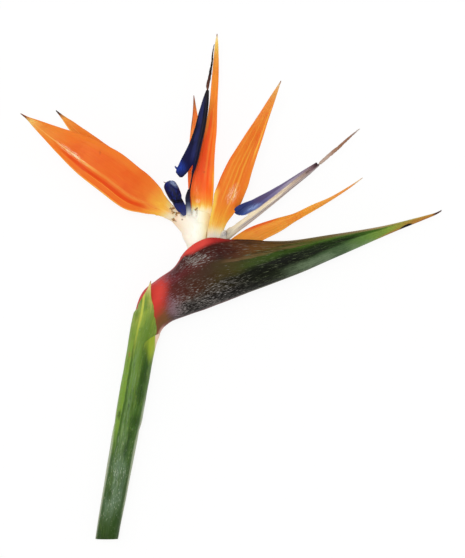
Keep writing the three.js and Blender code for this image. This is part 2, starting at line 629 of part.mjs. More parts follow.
function meshOf(name) {
  const { vertProperties, numProp, numVert, triVerts } = solids[name].getMesh();
  const positions = new Float32Array(numVert * 3);
  for (let i = 0; i < numVert; i += 1) {
    positions.set(vertProperties.subarray(i * numProp, i * numProp + 3), i * 3);
  }
  const geometry = new THREE.BufferGeometry();
  geometry.setAttribute("position", new THREE.BufferAttribute(positions, 3));
  geometry.setIndex(new THREE.BufferAttribute(triVerts, 1));
  geometry.computeVertexNormals();
  const mesh = new THREE.Mesh(geometry, new THREE.MeshStandardMaterial(MATERIALS[materialOf[name]]));
  mesh.name = name;
  return mesh;
}

const birdOfParadise = new THREE.Group();
birdOfParadise.add(...Object.keys(solids).map(meshOf));

export default birdOfParadise;
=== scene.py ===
import bpy
import bmesh
import math
import random
from mathutils import Matrix, Vector, kdtree, noise


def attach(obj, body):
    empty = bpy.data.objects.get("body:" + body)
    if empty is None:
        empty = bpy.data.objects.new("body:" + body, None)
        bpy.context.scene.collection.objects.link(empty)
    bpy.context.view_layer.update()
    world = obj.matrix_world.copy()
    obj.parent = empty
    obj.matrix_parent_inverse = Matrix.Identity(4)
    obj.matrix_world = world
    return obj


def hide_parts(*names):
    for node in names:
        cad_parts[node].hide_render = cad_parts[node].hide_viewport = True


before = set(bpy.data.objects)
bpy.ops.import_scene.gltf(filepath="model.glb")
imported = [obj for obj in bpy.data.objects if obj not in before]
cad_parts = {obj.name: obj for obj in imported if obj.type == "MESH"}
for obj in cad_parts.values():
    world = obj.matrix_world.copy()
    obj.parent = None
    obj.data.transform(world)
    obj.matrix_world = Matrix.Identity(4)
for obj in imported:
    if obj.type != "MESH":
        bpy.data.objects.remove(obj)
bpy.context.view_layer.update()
mm = 0.001
print("frame loaded:", len(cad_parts), "CAD nodes")


# camera and studio: the flower lies on a pale table and is seen square from above

view = {
    "centre": (16.35, -2.2),  # mm, the point under the lens
    "height": 3.0,           # m above the table
    "coverage": 334.8,       # mm of table from the bottom of the picture to the top
    "focusZ": 12,            # mm, the plane where the coverage holds
    "sensor": 24,            # mm
}
studio = {
    "sky": (0.22, 0.55, 0.95, 0.35),   # where the fade starts and ends, and its strengths there
    "key": {"at": (-0.3, 0.25, 3.2), "size": 1.2, "power": 42, "tint": (1, 0.99, 0.975)},
    "left": {"at": (-1.1, 0.5, 1.6), "size": 1.2, "power": 5.5, "tint": (1, 0.99, 0.97)},
    "right": {"at": (1.15, 0.3, 1.7), "size": 1.3, "power": 5, "tint": (0.98, 0.99, 1)},
    "front": {"at": (0.1, -1.3, 1.1), "size": 0.9, "power": 2, "tint": (1, 1, 1)},
    "tableGlow": 1.0,
    "tableMatt": 0.1,
}


def linked(thing):
    bpy.context.scene.collection.objects.link(thing)
    return thing


def addCamera():
    data = bpy.data.cameras.new("overheadCamera")
    data.sensor_fit = "VERTICAL"
    data.sensor_height = view["sensor"]
    data.lens = view["sensor"] * (view["height"] - view["focusZ"] * mm) / (view["coverage"] * mm)
    camera = bpy.data.objects.new("overheadCamera", data)
    camera.location = (view["centre"][0] * mm, view["centre"][1] * mm, view["height"])
    linked(camera)
    bpy.context.scene.camera = camera


def addLight(name, look):
    data = bpy.data.lights.new(name, "AREA")
    data.size = look["size"]
    data.energy = look["power"]
    data.color = look["tint"]
    light = bpy.data.objects.new(name, data)
    light.location = look["at"]
    light.rotation_euler = (-Vector(look["at"])).to_track_quat("-Z", "Y").to_euler()
    linked(light)


def addSky(look):
    # a bright ring of sky with a dim top, as round a camera that hangs over a table
    world = bpy.data.worlds.new("studioSky")
    world.use_nodes = True
    nodes, links = world.node_tree.nodes, world.node_tree.links
    way = nodes.new("ShaderNodeTexCoord")
    split = nodes.new("ShaderNodeSeparateXYZ")
    fade = nodes.new("ShaderNodeMapRange")
    for name, value in zip(("From Min", "From Max", "To Min", "To Max"), look):
        fade.inputs[name].default_value = value
    links.new(way.outputs["Generated"], split.inputs[0])
    links.new(split.outputs["Z"], fade.inputs["Value"])
    links.new(fade.outputs[0], nodes["Background"].inputs["Strength"])
    nodes["Background"].inputs["Color"].default_value = (1, 1, 1, 1)
    bpy.context.scene.world = world


addCamera()
addSky(studio["sky"])
for lightName in ("key", "left", "right", "front"):
    addLight(lightName + "Light", studio[lightName])
bpy.context.scene.view_settings.view_transform = "Standard"
print("camera and lights placed")


# colours are written as they look on a screen and turned into linear light here

def tint(code):
    channels = [int(code[i:i + 2], 16) / 255 for i in (1, 3, 5)]
    return tuple(c / 12.92 if c <= 0.04045 else ((c + 0.055) / 1.055) ** 2.4 for c in channels) + (1,)


# a socket that can be used in sums: each operator adds its Math node

class Wire:
    def __init__(self, paint, socket):
        self.paint = paint
        self.socket = socket

    def sum(self, operation, *values):
        return self.paint.add("Math", {"operation": operation}, dict(enumerate(values)))

    def __add__(self, other):
        return self.sum("ADD", self, other)

    def __sub__(self, other):
        return self.sum("SUBTRACT", self, other)

    def __rsub__(self, other):
        return self.sum("SUBTRACT", other, self)

    def __mul__(self, other):
        return self.sum("MULTIPLY", self, other)

    def __truediv__(self, other):
        return self.sum("DIVIDE", self, other)

    def __pow__(self, other):
        return self.sum("POWER", self, other)

    def __abs__(self):
        return self.sum("ABSOLUTE", self)

    __radd__ = __add__
    __rmul__ = __mul__


# one material's node tree, with the few moves that all the finishes share

class Paint:
    def __init__(self, name):
        self.material = bpy.data.materials.new(name)
        self.material.use_nodes = True
        self.tree = self.material.node_tree
        self.tree.nodes.clear()
        place = self.node("TexCoord", {}, {}).outputs["Object"]
        self.place = self.add("VectorMath", {"operation": "SCALE"}, {0: place, "Scale": 1 / mm})
        split = self.node("SeparateXYZ", {}, {0: self.place})
        self.x, self.y, self.z = (Wire(self, split.outputs[i]) for i in range(3))
        split = self.node("SeparateXYZ", {}, {0: self.add("UVMap", {"uv_map": "flow"}, {})})
        self.along, self.across = (Wire(self, split.outputs[i]) for i in range(2))

    def node(self, kind, settings, inputs):
        made = self.tree.nodes.new("ShaderNode" + kind)
        for key, value in settings.items():
            if key == "stops":
                ramp = made.color_ramp.elements
                while len(ramp) < len(value):
                    ramp.new(1)
                for element, (position, colour) in zip(ramp, value.items()):
                    element.position = position
                    element.color = tint(colour)
            else:
                setattr(made, key, value)
        for key, value in inputs.items():
            socket = made.inputs[key]
            if isinstance(value, Wire):
                self.tree.links.new(value.socket, socket)
            elif isinstance(value, bpy.types.NodeSocket):
                self.tree.links.new(value, socket)
            else:
                socket.default_value = value
        return made

    def add(self, kind, settings, inputs, output=0):
        return Wire(self, self.node(kind, settings, inputs).outputs[output])

    def smooth(self, value, low, high):
        ends = {"Value": value, "From Min": low, "From Max": high}
        return self.add("MapRange", {"interpolation_type": "SMOOTHSTEP"}, ends)

    def fall(self, value, low, high):
        return 1 - self.smooth(value, low, high)

    def window(self, value, low, high, fallFrom, fallTo):
        return self.smooth(value, low, high) * self.fall(value, fallFrom, fallTo)

    def bandOf(self, value, centre, width):
        return self.fall(abs(value - centre), width * 0.3, width)

    def ramp(self, value, stops):
        return self.add("ValToRGB", {"stops": stops}, {0: value})

    def mix(self, base, over, factor):
        base, over = (tint(c) if isinstance(c, str) else c for c in (base, over))
        return self.add("Mix", {"data_type": "RGBA"}, {0: factor, 6: base, 7: over}, 2)

    def lay(self, over, amount):
        # one more coat of colour on the skin
        self.skin = self.mix(self.skin, over, amount)

    def grain(self, vector, scale, detail=3, rough=0.55):
        sizes = {"Vector": vector, "Scale": scale, "Detail": detail, "Roughness": rough}
        return self.add("TexNoise", {}, sizes)

    def flowGrain(self, length, width, seed=0, detail=3, rough=0.55):
        # grain with this many sizes along and across the flow map, another one for each seed
        way = {0: self.along * length, 1: self.across * width, 2: seed}
        return self.grain(self.add("CombineXYZ", {}, way), 1, detail, rough)

    def placeGrain(self, scales):
        way = self.add("VectorMath", {"operation": "MULTIPLY"}, {0: self.place, 1: scales})
        return self.grain(way, 1, 4)

    def spot(self, centre, size, turn=0, soft=0.5):
        # an oval patch at a place on the table plan: 1 in its middle, 0 outside
        c, s = math.cos(math.radians(turn)), math.sin(math.radians(turn))
        dx, dy = self.x - centre[0], self.y - centre[1]
        u = (dx * c + dy * s) / size[0]
        v = (dy * c - dx * s) / size[1]
        distance = (u * u + v * v) ** 0.5
        return self.fall(distance, 1 - soft, 1 + soft * 0.4)

    def bump(self, height, distance, strength):
        return self.add("Bump", {}, {"Strength": strength, "Distance": distance * mm, "Height": height})

    def finish(self, rough, normal, shine=0.5, glow=0, reach=0.05):
        # glow is the share of light that enters the flesh, and reach how deep it goes, in metres
        values = {"Base Color": self.skin, "Roughness": rough, "Normal": normal,
            "Specular IOR Level": shine, "Subsurface Weight": glow, "Subsurface Scale": reach}
        self.node("OutputMaterial", {}, {"Surface": self.add("BsdfPrincipled", {}, values)})
        return self.material


# smooth curves: the same rules as the solids use, so every piece lands on its solid

def profile(knots):
    knots = sorted(dict(knots).items())
    rise = [(b[1] - a[1]) / (b[0] - a[0]) for a, b in zip(knots, knots[1:])]
    slope = [rise[0]]
    for before, after in zip(rise, rise[1:]):
        slope.append(0 if before * after <= 0 else 2 * before * after / (before + after))
    slope.append(rise[-1])

    def value(t):
        i = 0
        while i < len(knots) - 2 and t > knots[i + 1][0]:
            i += 1
        (t0, v0), (t1, v1) = knots[i], knots[i + 1]
        step = t1 - t0
        u = min(1, max(0, (t - t0) / step))
        blend = u * u * (3 - 2 * u)
        leaving = u * (1 - u) * (1 - u) * step * slope[i]
        arriving = u * u * (1 - u) * step * slope[i + 1]
        return v0 + (v1 - v0) * blend + leaving - arriving

    return value


def curves(look, names):
    # the profiles that a piece gives by name: one that it leaves out stays at 0
    return (profile(look.get(name, {0: 0, 1: 0})) for name in names.split())


class Spine:
    def __init__(self, points):
        self.points = [Vector(p) for p in points]
        count = 40 * (len(points) - 1)
        self.samples = [self.raw(i / count) for i in range(count + 1)]
        self.lengths = [0]
        for a, b in zip(self.samples, self.samples[1:]):
            self.lengths.append(self.lengths[-1] + (b - a).length)

    def raw(self, share):
        # a centripetal Catmull-Rom curve through the points
        points = self.points
        place = share * (len(points) - 1)
        i = min(int(place), len(points) - 2)
        w = place - i
        b, c = points[i], points[i + 1]
        a = points[i - 1] if i > 0 else 2 * b - c
        d = points[i + 2] if i + 2 < len(points) else 2 * c - b
        ab, bc, cd = ((q - p).length ** 0.5 for p, q in ((a, b), (b, c), (c, d)))
        leaving = ((b - a) / ab - (c - a) / (ab + bc) + (c - b) / bc) * bc
        arriving = ((c - b) / bc - (d - b) / (bc + cd) + (d - c) / cd) * bc
        bend = 3 * (c - b) - 2 * leaving - arriving
        twist = 2 * (b - c) + leaving + arriving
        return b + leaving * w + bend * w * w + twist * w ** 3

    def at(self, t):
        target = t * self.lengths[-1]
        low, high = 0, len(self.lengths) - 1
        while high - low > 1:
            middle = (low + high) // 2
            low, high = (middle, high) if self.lengths[middle] <= target else (low, middle)
        share = (target - self.lengths[low]) / (self.lengths[high] - self.lengths[low])
        return self.samples[low].lerp(self.samples[high], share)

    def frame(self, t, roll=0):
        step = 0.004
        origin = self.at(t)
        along = (self.at(min(1, t + step)) - self.at(max(0, t - step))).normalized()
        left = Vector((0, 0, 1)).cross(along).normalized()
        up = along.cross(left)
        turn = Matrix.Rotation(math.radians(roll), 3, along)
        return origin, along, turn @ left, turn @ up


# meshes

def finishMesh(name, verts, faces, flows, materials, slots=None):
    mesh = bpy.data.meshes.new(name)
    mesh.from_pydata([Vector(v) * mm for v in verts], [], faces)
    layer = mesh.uv_layers.new(name="flow")
    for polygon, flow in zip(mesh.polygons, flows):
        for corner, uv in zip(polygon.loop_indices, flow):
            layer.data[corner].uv = uv
    for material in materials:
        mesh.materials.append(material)
    for polygon, slot in zip(mesh.polygons, slots or []):
        polygon.material_index = slot
    mesh.polygons.foreach_set("use_smooth", [True] * len(mesh.polygons))
    mesh.update()
    tidy = bmesh.new()
    tidy.from_mesh(mesh)
    bmesh.ops.remove_doubles(tidy, verts=tidy.verts, dist=1e-6)
    bmesh.ops.recalc_face_normals(tidy, faces=tidy.faces)
    tidy.to_mesh(mesh)
    tidy.free()
    return linked(bpy.data.objects.new(name, mesh))


def settle(piece, node):
    # the piece rides on the flower's one body and stands for its solid, if it has one
    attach(piece, "root")
    if node:
        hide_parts(node)


def bladeMesh(name, stations, across, pointAt, materials):
    # a thin closed blade: pointAt(t, s, side), t and s as on the solid, side 1 above and -1 below
    verts, faces, flows, slots = [], [], [], []
    row = across + 1
    face = row * (stations + 1)
    for side in (1, -1):
        for i in range(stations + 1):
            for j in range(row):
                verts.append(pointAt(i / stations, 2 * j / across - 1, side))

    def quad(corners, slot):
        faces.append(corners)
        flows.append([((k % face) // row / stations, (k % face) % row / across) for k in corners])
        slots.append(min(slot, len(materials) - 1))

    for i in range(stations):
        for j in range(across):
            a = i * row + j
            quad([a, a + 1, a + 1 + row, a + row], 0)
            quad([face + a, face + a + row, face + a + 1 + row, face + a + 1], 1)
        for j in (0, across):
            a = i * row + j
            quad([a, a + row, a + row + face, a + face], 0)
    for i in (0, stations):
        for j in range(across):
            a = i * row + j
            quad([a, a + 1, a + 1 + face, a + face], 0)
    return finishMesh(name, verts, faces, flows, materials, slots)


def tubeMesh(name, rings, materials, capSlot=0):
    # a closed tube through rings of points, with a fan over each end
    verts = [p for ring in rings for p in ring]
    sides, last = len(rings[0]), len(rings) - 1
    faces, flows, slots = [], [], []
    for i in range(last):
        for j in range(sides):
            k = (j + 1) % sides
            faces.append([i * sides + j, i * sides + k, (i + 1) * sides + k, (i + 1) * sides + j])
            u0, u1, v0, v1 = i / last, (i + 1) / last, j / sides, (j + 1) / sides
            flows.append([(u0, v0), (u0, v1), (u1, v1), (u1, v0)])
            slots.append(0)
    for i in (0, last):
        middle = sum((Vector(p) for p in rings[i]), Vector()) / sides
        verts.append(middle)
        for j in range(sides):
            k = (j + 1) % sides
            faces.append([len(verts) - 1, i * sides + j, i * sides + k])
            flows.append([(i / last, 0.5), (i / last, j / sides), (i / last, (j + 1) / sides)])
            slots.append(capSlot)
    return finishMesh(name, verts, faces, flows, materials, slots)


def stalkRings(look, sides, stations, wobble=None):
    spine, wide = Spine(look["spine"]), profile(look["wide"])
    deep = profile(look["deep"]) if "deep" in look else wide
    rings = []
    for i in range(stations + 1):
        t = i / stations
        origin, _, left, up = spine.frame(t)
        ring = []
        for j in range(sides):
            angle = 2 * math.pi * j / sides
            extra = wobble(t, angle) if wobble else 0
            sideways = (wide(t) + extra) * math.sin(angle)
            ring.append(origin - left * sideways + up * (deep(t) + extra) * math.cos(angle))
        rings.append(ring)
    return rings


def fuse(piece, voxel, smooth):
    # joins the overlapping parts of a piece into one skin
    remesh = piece.modifiers.new("fuse", "REMESH")
    remesh.mode = "VOXEL"
    remesh.voxel_size = voxel * mm
    soften = piece.modifiers.new("soften", "SMOOTH")
    soften.factor = 0.5
    soften.iterations = smooth
    bpy.context.view_layer.update()
    graph = bpy.context.evaluated_depsgraph_get()
    mesh = bpy.data.meshes.new_from_object(piece.evaluated_get(graph))
    piece.modifiers.clear()
    piece.data = mesh
    mesh.polygons.foreach_set("use_smooth", [True] * len(mesh.polygons))
    return piece


def joined(name, pieces):
    # several meshes as one object
    together = bmesh.new()
    for piece in pieces:
        together.from_mesh(piece.data)
    mesh = bpy.data.meshes.new(name)
    together.to_mesh(mesh)
    together.free()
    for material in pieces[0].data.materials:
        mesh.materials.append(material)
    for piece in pieces:
        bpy.data.objects.remove(piece)
    return linked(bpy.data.objects.new(name, mesh))


# the scape, cut straight across at its foot, and the rachis in the spathe

scape = {
    "spine": [(-61.2, -169, 6.1), (-50.6, -109.8, 8.9), (-41.8, -61.8, 11.1), (-38.5, -44, 12),
        (-34.6, -29, 12), (-27.4, -17.6, 12), (-17, -9.6, 12), (-3, -3, 12), (11, 1.4, 12)],
    "wide": {0: 6.6, 0.14: 7.05, 0.3: 7.6, 0.36: 7.8, 0.4: 7.6, 0.43: 6.65, 0.6: 6.65, 0.645: 6.65,
        0.66: 5.5, 0.76: 5.3, 0.85: 4.5, 0.93: 3.7, 1: 2.5},
    "cutY": -158.4,
    "lean": (0.178, 31),    # how far its middle line leans to the right, and where it crosses, in mm
    "ribs": (11, 17, 29),   # ridges round the stalk, three sizes mixed
    "ribHeight": 0.042,
    "swell": 0.22,
    "mesh": (72, 150),      # sides round, stations along
}


# dark smudges on the stalk: place and size
smudges = [((-42, -87), (4.4, 6)), ((-44.8, -95.6), (2.6, 5)), ((-47.4, -105), (3.4, 10)),
    ((-53, -146.6), (4.4, 7)), ((-57.4, -131), (2.4, 7)), ((-54, -155), (6, 5)), ((-37.4, -60), (4, 16)),
    ((-51.6, -83.5), (1.6, 4)), ((-39, -72), (4, 8))]
scars = [(-45.4, -47.5), (-40.4, -25.6)]


def fromMiddle(p):
    # mm to the right of the stalk's middle line
    lean, shift = scape["lean"]
    return p.x - p.y * lean + shift


def stemGreen(p):
    # green of the stalk and its bract together, so that their marks run on from one to the other
    sideways = fromMiddle(p)

    def streaks(length, width, seed, detail=4):
        way = {0: sideways / width, 1: p.y / length + seed, 2: p.z / width}
        return p.grain(p.add("CombineXYZ", {}, way), 1, detail, 0.6)

    fine, broad = streaks(9, 0.8, 0), streaks(24, 2.2, 7)
    grit, dash = streaks(1.7, 0.8, 3), streaks(4, 0.6, 11, 2)
    cloud = p.grain(p.place, 0.075, 4)
    lean = sideways + (cloud - 0.5) * 2.4
    p.skin = p.ramp((p.y + 160) / 160 + (cloud - 0.5) * 0.06, {
        0: "#243a10", 0.05: "#2e4818", 0.12: "#40582c", 0.3: "#465f2c", 0.42: "#50702e", 0.6: "#62842e",
        0.8: "#6a8a2c", 1: "#8c9c38"})
    p.lay("#36571a", p.smooth(lean, 0.4, 3) * p.smooth(p.y, -128, -100) * (0.45 + broad * 0.5))
    p.lay("#274410", p.smooth(broad, 0.48, 0.64) * (0.7 - p.smooth(p.y, -104, -90) * 0.35))
    p.lay("#7f9a48", p.smooth(fine, 0.52, 0.72) * (0.2 + p.smooth(p.y, -140, -118) * 0.4))
    midway = p.window(p.y, -112, -88, -44, -28)
    p.lay("#7a9c34", p.fall(lean, -5, -4) * midway * 0.7)
    p.lay("#38581a", p.bandOf(lean, -3.7, 0.9) * midway * (0.4 + fine * 0.7))
    p.lay("#6b8858", p.bandOf(lean, -1.4, 2.6) * midway * p.smooth(fine + dash * 0.4, 0.55, 0.85) * 0.6)
    low = p.fall(p.y, -112, -92) * p.smooth(p.y, -152, -136)
    bloom = p.smooth(broad * 0.6 + fine * 0.35 + cloud * 0.5 - lean * lean * 0.006, 0.52, 0.82) * low
    p.lay("#6c846a", bloom * 0.56)
    p.lay("#b0c0aa", p.smooth(dash * 0.6 + grit * 0.4, 0.54, 0.62) * bloom * 0.7)
    rim = abs(sideways) - p.smooth(p.y, -104, -84) * 1.1
    p.lay("#2c4a1c", p.bandOf(rim, 5.5, 1) * low * (0.2 + fine * 0.5))
    # a painted sheen: the pale rim along both edges of the lower stalk, where its round sides catch the
    # light
    p.lay("#c9cfb4", p.smooth(rim, 6, 7.1) * p.fall(p.y, -84, -66) * 0.55)
    for centre, size in smudges:
        ragged = p.spot(centre, size, -10, 1) * 1.3 + (broad + grit + dash - 1.5) * 1.6
        p.lay("#22400a", p.smooth(ragged, 0.3, 1.35) * 0.72)
    p.lay("#b4c29c", p.smooth(grit * 0.6 + dash * 0.4, 0.56, 0.66) * (0.22 + low * 0.25))
    p.lay("#2c4612", p.smooth(1 - grit * 0.5 - dash * 0.5, 0.57, 0.66) * 0.3)
    for centre in scars:
        p.lay("#9a6a44", p.spot(centre, (1.2, 3), -8, 0.9) * p.smooth(grit, 0.4, 0.6) * 0.7)
    return fine * 0.5 + broad * 0.5 + grit * 0.2


def scapeFinish():
    p = Paint("waxyGreenStalk")
    relief = stemGreen(p)
    return p.finish(0.45, p.bump(relief, 0.35, 0.8), 0.15, 0.06, 0.0015)


def pithFinish():
    p = Paint("cutPith")
    bundles = p.add("TexVoronoi", {"feature": "DISTANCE_TO_EDGE"}, {"Vector": p.place, "Scale": 1.1})
    dots = p.smooth(bundles, 0.28, 0.42)
    p.skin = p.mix("#b9c487", "#8b9c55", dots * 0.7)
    p.lay("#6d7d3a", p.smooth(p.grain(p.place, 0.6, 3), 0.55, 0.75) * 0.5)
    return p.finish(0.35, p.bump(dots, 0.2, 0.6), glow=0.1)


def makeScape():
    def ribs(t, angle):
        waves = sum(math.sin(angle * k + k * 1.7 + 0.8 * math.sin(t * k)) for k in scape["ribs"])
        slow = noise.noise(Vector((math.cos(angle) * 0.8, math.sin(angle) * 0.8, t * 14)))
        return scape["ribHeight"] * waves + scape["swell"] * slow

    rings = stalkRings(scape, *scape["mesh"], ribs)
    piece = tubeMesh("scapeStalk", rings, [scapeFinish(), pithFinish()], 1)
    cut = bmesh.new()
    cut.from_mesh(piece.data)
    # at the foot, which shows the pith, and at the table
    for point, normal in (((0, scape["cutY"] * mm, 0), (0, -1, 0)), ((0, 0, 0), (0, 0, -1))):
        everything = cut.verts[:] + cut.edges[:] + cut.faces[:]
        plane = {"plane_co": point, "plane_no": normal, "clear_outer": True}
        sliced = bmesh.ops.bisect_plane(cut, geom=everything, **plane)
        rim = [e for e in sliced["geom_cut"] if isinstance(e, bmesh.types.BMEdge)]
        if rim:
            for face in bmesh.ops.triangle_fill(cut, use_beauty=True, edges=rim, normal=normal)["geom"]:
                if isinstance(face, bmesh.types.BMFace):
                    face.material_index = 1 if normal[1] else 0
    cut.to_mesh(piece.data)
    cut.free()
    settle(piece, "scape")


makeScape()
print("scape made")


# the sheathing bract: a sheet wound round the neck, with its own midrib and a dry tip

sheath = {
    "axis": [(-47.4, -93, 9.6), (-41.9, -61.8, 11.1), (-37.6, -39, 12), (-32.9, -21, 12),
        (-31.2, -3.4, 12)],
    "right": {0: 42, 0.3: 45, 0.5: 47, 0.6: 46, 0.64: 50, 0.672: 55, 0.705: 45, 0.758: 30, 0.82: 15,
        0.885: -1, 0.937: -5, 1: -7},
    "left": {0: -345, 0.3: -350, 0.58: -350, 0.62: -335, 0.66: -306, 0.69: -264, 0.74: -180, 0.785: -104,
        0.83: -68, 0.87: -43, 0.92: -26, 0.95: -18, 0.985: -12, 1: -9},
    "inner": {0: 7.2, 0.5: 7.1, 0.6: 7.5, 0.68: 8.25, 0.75: 8.7, 0.85: 9.1, 0.93: 9, 1: 8.8},
    "winding": {0: 0.1, 0.12: 0.66, 0.8: 0.7, 1: 0.2},
    "wall": 0.62,
    "tuck": 1.4,        # mm, how far the flap draws in where it leaves the outline
    "midrib": -29,      # degrees round from the near side
    "turnFrom": -350,   # degrees where the flow map starts
    "turnSpan": 420,    # degrees that it spreads over its width
    "mesh": (130, 150),     # stations along, faces across
}


def sheathFinish():
    p = Paint("sheathingBract")
    angle = p.across * sheath["turnSpan"] + sheath["turnFrom"]
    relief = stemGreen(p)
    fibre = p.flowGrain(9, 90, 0, 4)
    fleck = p.flowGrain(40, 110, 5, 3, 0.7)
    cloud = p.grain(p.place, 0.12, 4)
    top = p.smooth(p.along, 0.45, 0.72)
    p.lay("#96a83c", top * (0.3 + p.smooth(fibre, 0.42, 0.65) * 0.5))
    p.lay("#5d7e28", p.smooth(cloud + fibre * 0.5, 0.68, 0.9) * top * 0.7)
    p.lay("#b2ac52", p.spot((-31.6, -15), (3, 8), -4, 1) * p.smooth(fibre, 0.35, 0.6) * 0.8)
    rib = p.bandOf(angle, sheath["midrib"], 7)
    p.lay("#c3c84e", rib * p.smooth(p.along, 0.42, 0.85) * (0.5 + fleck * 0.7))
    beside = p.bandOf(angle, sheath["midrib"] + 34, 22) * p.window(p.along, 0.3, 0.5, 0.72, 0.84)
    p.lay("#5b7c28", beside * (0.3 + p.smooth(fibre, 0.4, 0.6) * 0.5))
    # the inner margin on the right, yellow and then flushed where it meets the spathe
    inner = p.fall(angle, -262, -250)
    nearRim = p.smooth(fromMiddle(p), 2.5, 7)
    p.lay("#97a92a", inner * p.smooth(p.y + nearRim * 9, -46, -36) * (0.45 + nearRim * 0.5))
    p.lay("#efcdb8", p.smooth(p.x - p.y * 0.03 + 28.9, -0.3, 0.5) * p.smooth(p.y, -52, -40) * inner * 0.9)
    p.lay("#8ea048", p.window(angle, -200, -150, -84, -50) * p.smooth(p.along, 0.6, 0.75) * 0.5)
    p.lay("#c6cfa6", p.smooth(fleck, 0.6, 0.7) * top * 0.35)
    # the dry tip
    p.lay("#dccb86", p.smooth(p.along, 0.88, 0.975) * 0.9)
    p.lay("#9c7a58", p.smooth(p.along, 0.978, 0.995))
    relief = relief * 0.6 + fibre * 0.5 + rib * top * 0.6
    return p.finish(0.42, p.bump(relief, 0.35, 0.8), 0.15, 0.1, 0.0015)


def eased(share):
    share = min(1, max(0, share))
    return share * share * (3 - 2 * share)


def makeSheath():
    axis = Spine(sheath["axis"])
    right, left, inner, winding = curves(sheath, "right left inner winding")

    def degreesAt(t, s):
        return right(t) + (left(t) - right(t)) * (s + 1) / 2

    def point(t, s, side):
        angle = degreesAt(t, s)
        radius = inner(t) + sheath["wall"] / 2 + winding(t) * (right(t) - angle) / 360
        turn = math.radians(angle)
        ripple = 0.05 * math.sin(turn * 21 + t * 5)
        ripple += 0.14 * noise.noise(Vector((2 * math.cos(turn), 2 * math.sin(turn), t * 9)))
        rib = 0.3 * math.exp(-((angle - sheath["midrib"]) / 7) ** 2) * min(1, max(0, 2 * t - 0.9))
        thin = (1 - 0.6 * s ** 8) * min(1, 0.2 + 9 * t)
        foot = max(0, 1 - t / 0.06) ** 2
        hug = 0.5 * max(0, (s - 0.75) / 0.25) ** 2 * math.exp(-((t - 0.64) / 0.06) ** 2)
        flap = eased((t - 0.755) / 0.055) * eased((0.9 - t) / 0.06) * eased((-angle - 25) / 50)
        hug += sheath["tuck"] * flap
        radius += ripple + side * sheath["wall"] / 2 * thin + rib * side * 0.7 - 0.3 * foot - hug
        origin, _, sideways, up = axis.frame(t)
        return origin - sideways * radius * math.sin(turn) + up * radius * math.cos(turn)

    piece = bladeMesh("sheathBract", *sheath["mesh"], point, [sheathFinish()])
    layer = piece.data.uv_layers["flow"]
    for corner in layer.data:
        t, v = corner.uv
        corner.uv = (t, (degreesAt(t, 2 * v - 1) - sheath["turnFrom"]) / sheath["turnSpan"])
    settle(piece, "sheath")


makeSheath()
print("sheath made")


# the spathe: a boat-shaped bract folded along its keel, open where the flowers stand

spathe = {
    "keel": [(-30.2, -42.6), (-27.9, -36.4), (-24.8, -31.2), (-20.2, -27.7), (-11.9, -24.5), (-1.1, -20.9),
        (12, -15.8), (29.4, -9.1), (54.6, 0.5), (81, 11.9), (110.4, 24.8), (129.5, 32.6), (141.7, 37.6)],
    "margin": [(-45.2, -38.4), (-42.4, -23.4), (-37.6, -10.1), (-28.6, -2.4), (-18.7, 4.9), (-10.4, 18.9),
        (0.2, 25.6), (18.3, 23.2), (46, 20.6), (76.8, 24.6), (108, 29.8), (129, 35), (141.8, 38.4)],
    "half": {0: 7.5, 1: 8.2, 2: 9.3, 3: 10.4, 4: 11.5, 5: 12.2, 6: 12.3, 7: 11.3, 8: 8.8, 9: 6.1, 10: 3.2,
        11: 1.5, 12: 0.35},
    "gap": {0: 0.1, 3: 0.12, 4: 1.2, 4.6: 4.4, 5: 6.3, 6: 6.9, 6.6: 6.6, 7: 5.3, 7.5: 3.2, 8: 1.1, 9: 0.2,
        12: 0.05},
    "wall": 1.3,
    "median": 12,
    "beakFrom": 136.5,   # mm, where the tip starts to hook up
    "mesh": (200, 110),
}


# the spathe's colours from its neck to its beak, at four heights on the flank; the grey-green of the low
# row from 0.6 to 0.68 is a painted sheen, the pale table's light reflected near the keel
spatheTones = {
    "low": {0.05: "#2c1614", 0.15: "#120806", 0.3: "#0a0702", 0.4: "#0e1005", 0.5: "#1c2610",
        0.6: "#33462a", 0.68: "#46603a", 0.75: "#5f8238", 0.82: "#86a03a", 0.9: "#a87a34", 0.97: "#b88238"},
    "dark": {0: "#4a1c16", 0.12: "#3a1810", 0.2: "#2e1a08", 0.28: "#221c06", 0.36: "#0c0f02",
        0.5: "#070c01", 0.6: "#122006", 0.7: "#23400a", 0.78: "#3b600e", 0.86: "#628224", 0.93: "#94923a",
        0.98: "#c09a40"},
    "green": {0: "#6a2420", 0.14: "#46190f", 0.22: "#38200a", 0.3: "#3b340b", 0.37: "#33420c",
        0.48: "#2f4a0e", 0.58: "#3b5c14", 0.72: "#527c1c", 0.85: "#6c8c28", 0.93: "#a4a048",
        0.98: "#cca448"},
    "crown": {0.02: "#7a2a2a", 0.12: "#5e2226", 0.2: "#4c1a12", 0.27: "#2c110a", 0.32: "#4e2a16",
        0.38: "#5e3c18", 0.46: "#5c441a", 0.56: "#60541a", 0.64: "#6a5a30", 0.72: "#7d6a44", 0.8: "#a08a58",
        0.88: "#a8a04a", 0.97: "#d0a850"},
}
# where its wax lies thick: place, size, turn, amount
waxPatches = [((-4, 9.5), (12, 6), 14, 0.16), ((5, -11), (36, 11), 20, 0.1), ((-19, -20), (8, 8), 20, 0.13),
    ((-20, 2), (10, 5), 38, 0.09)]


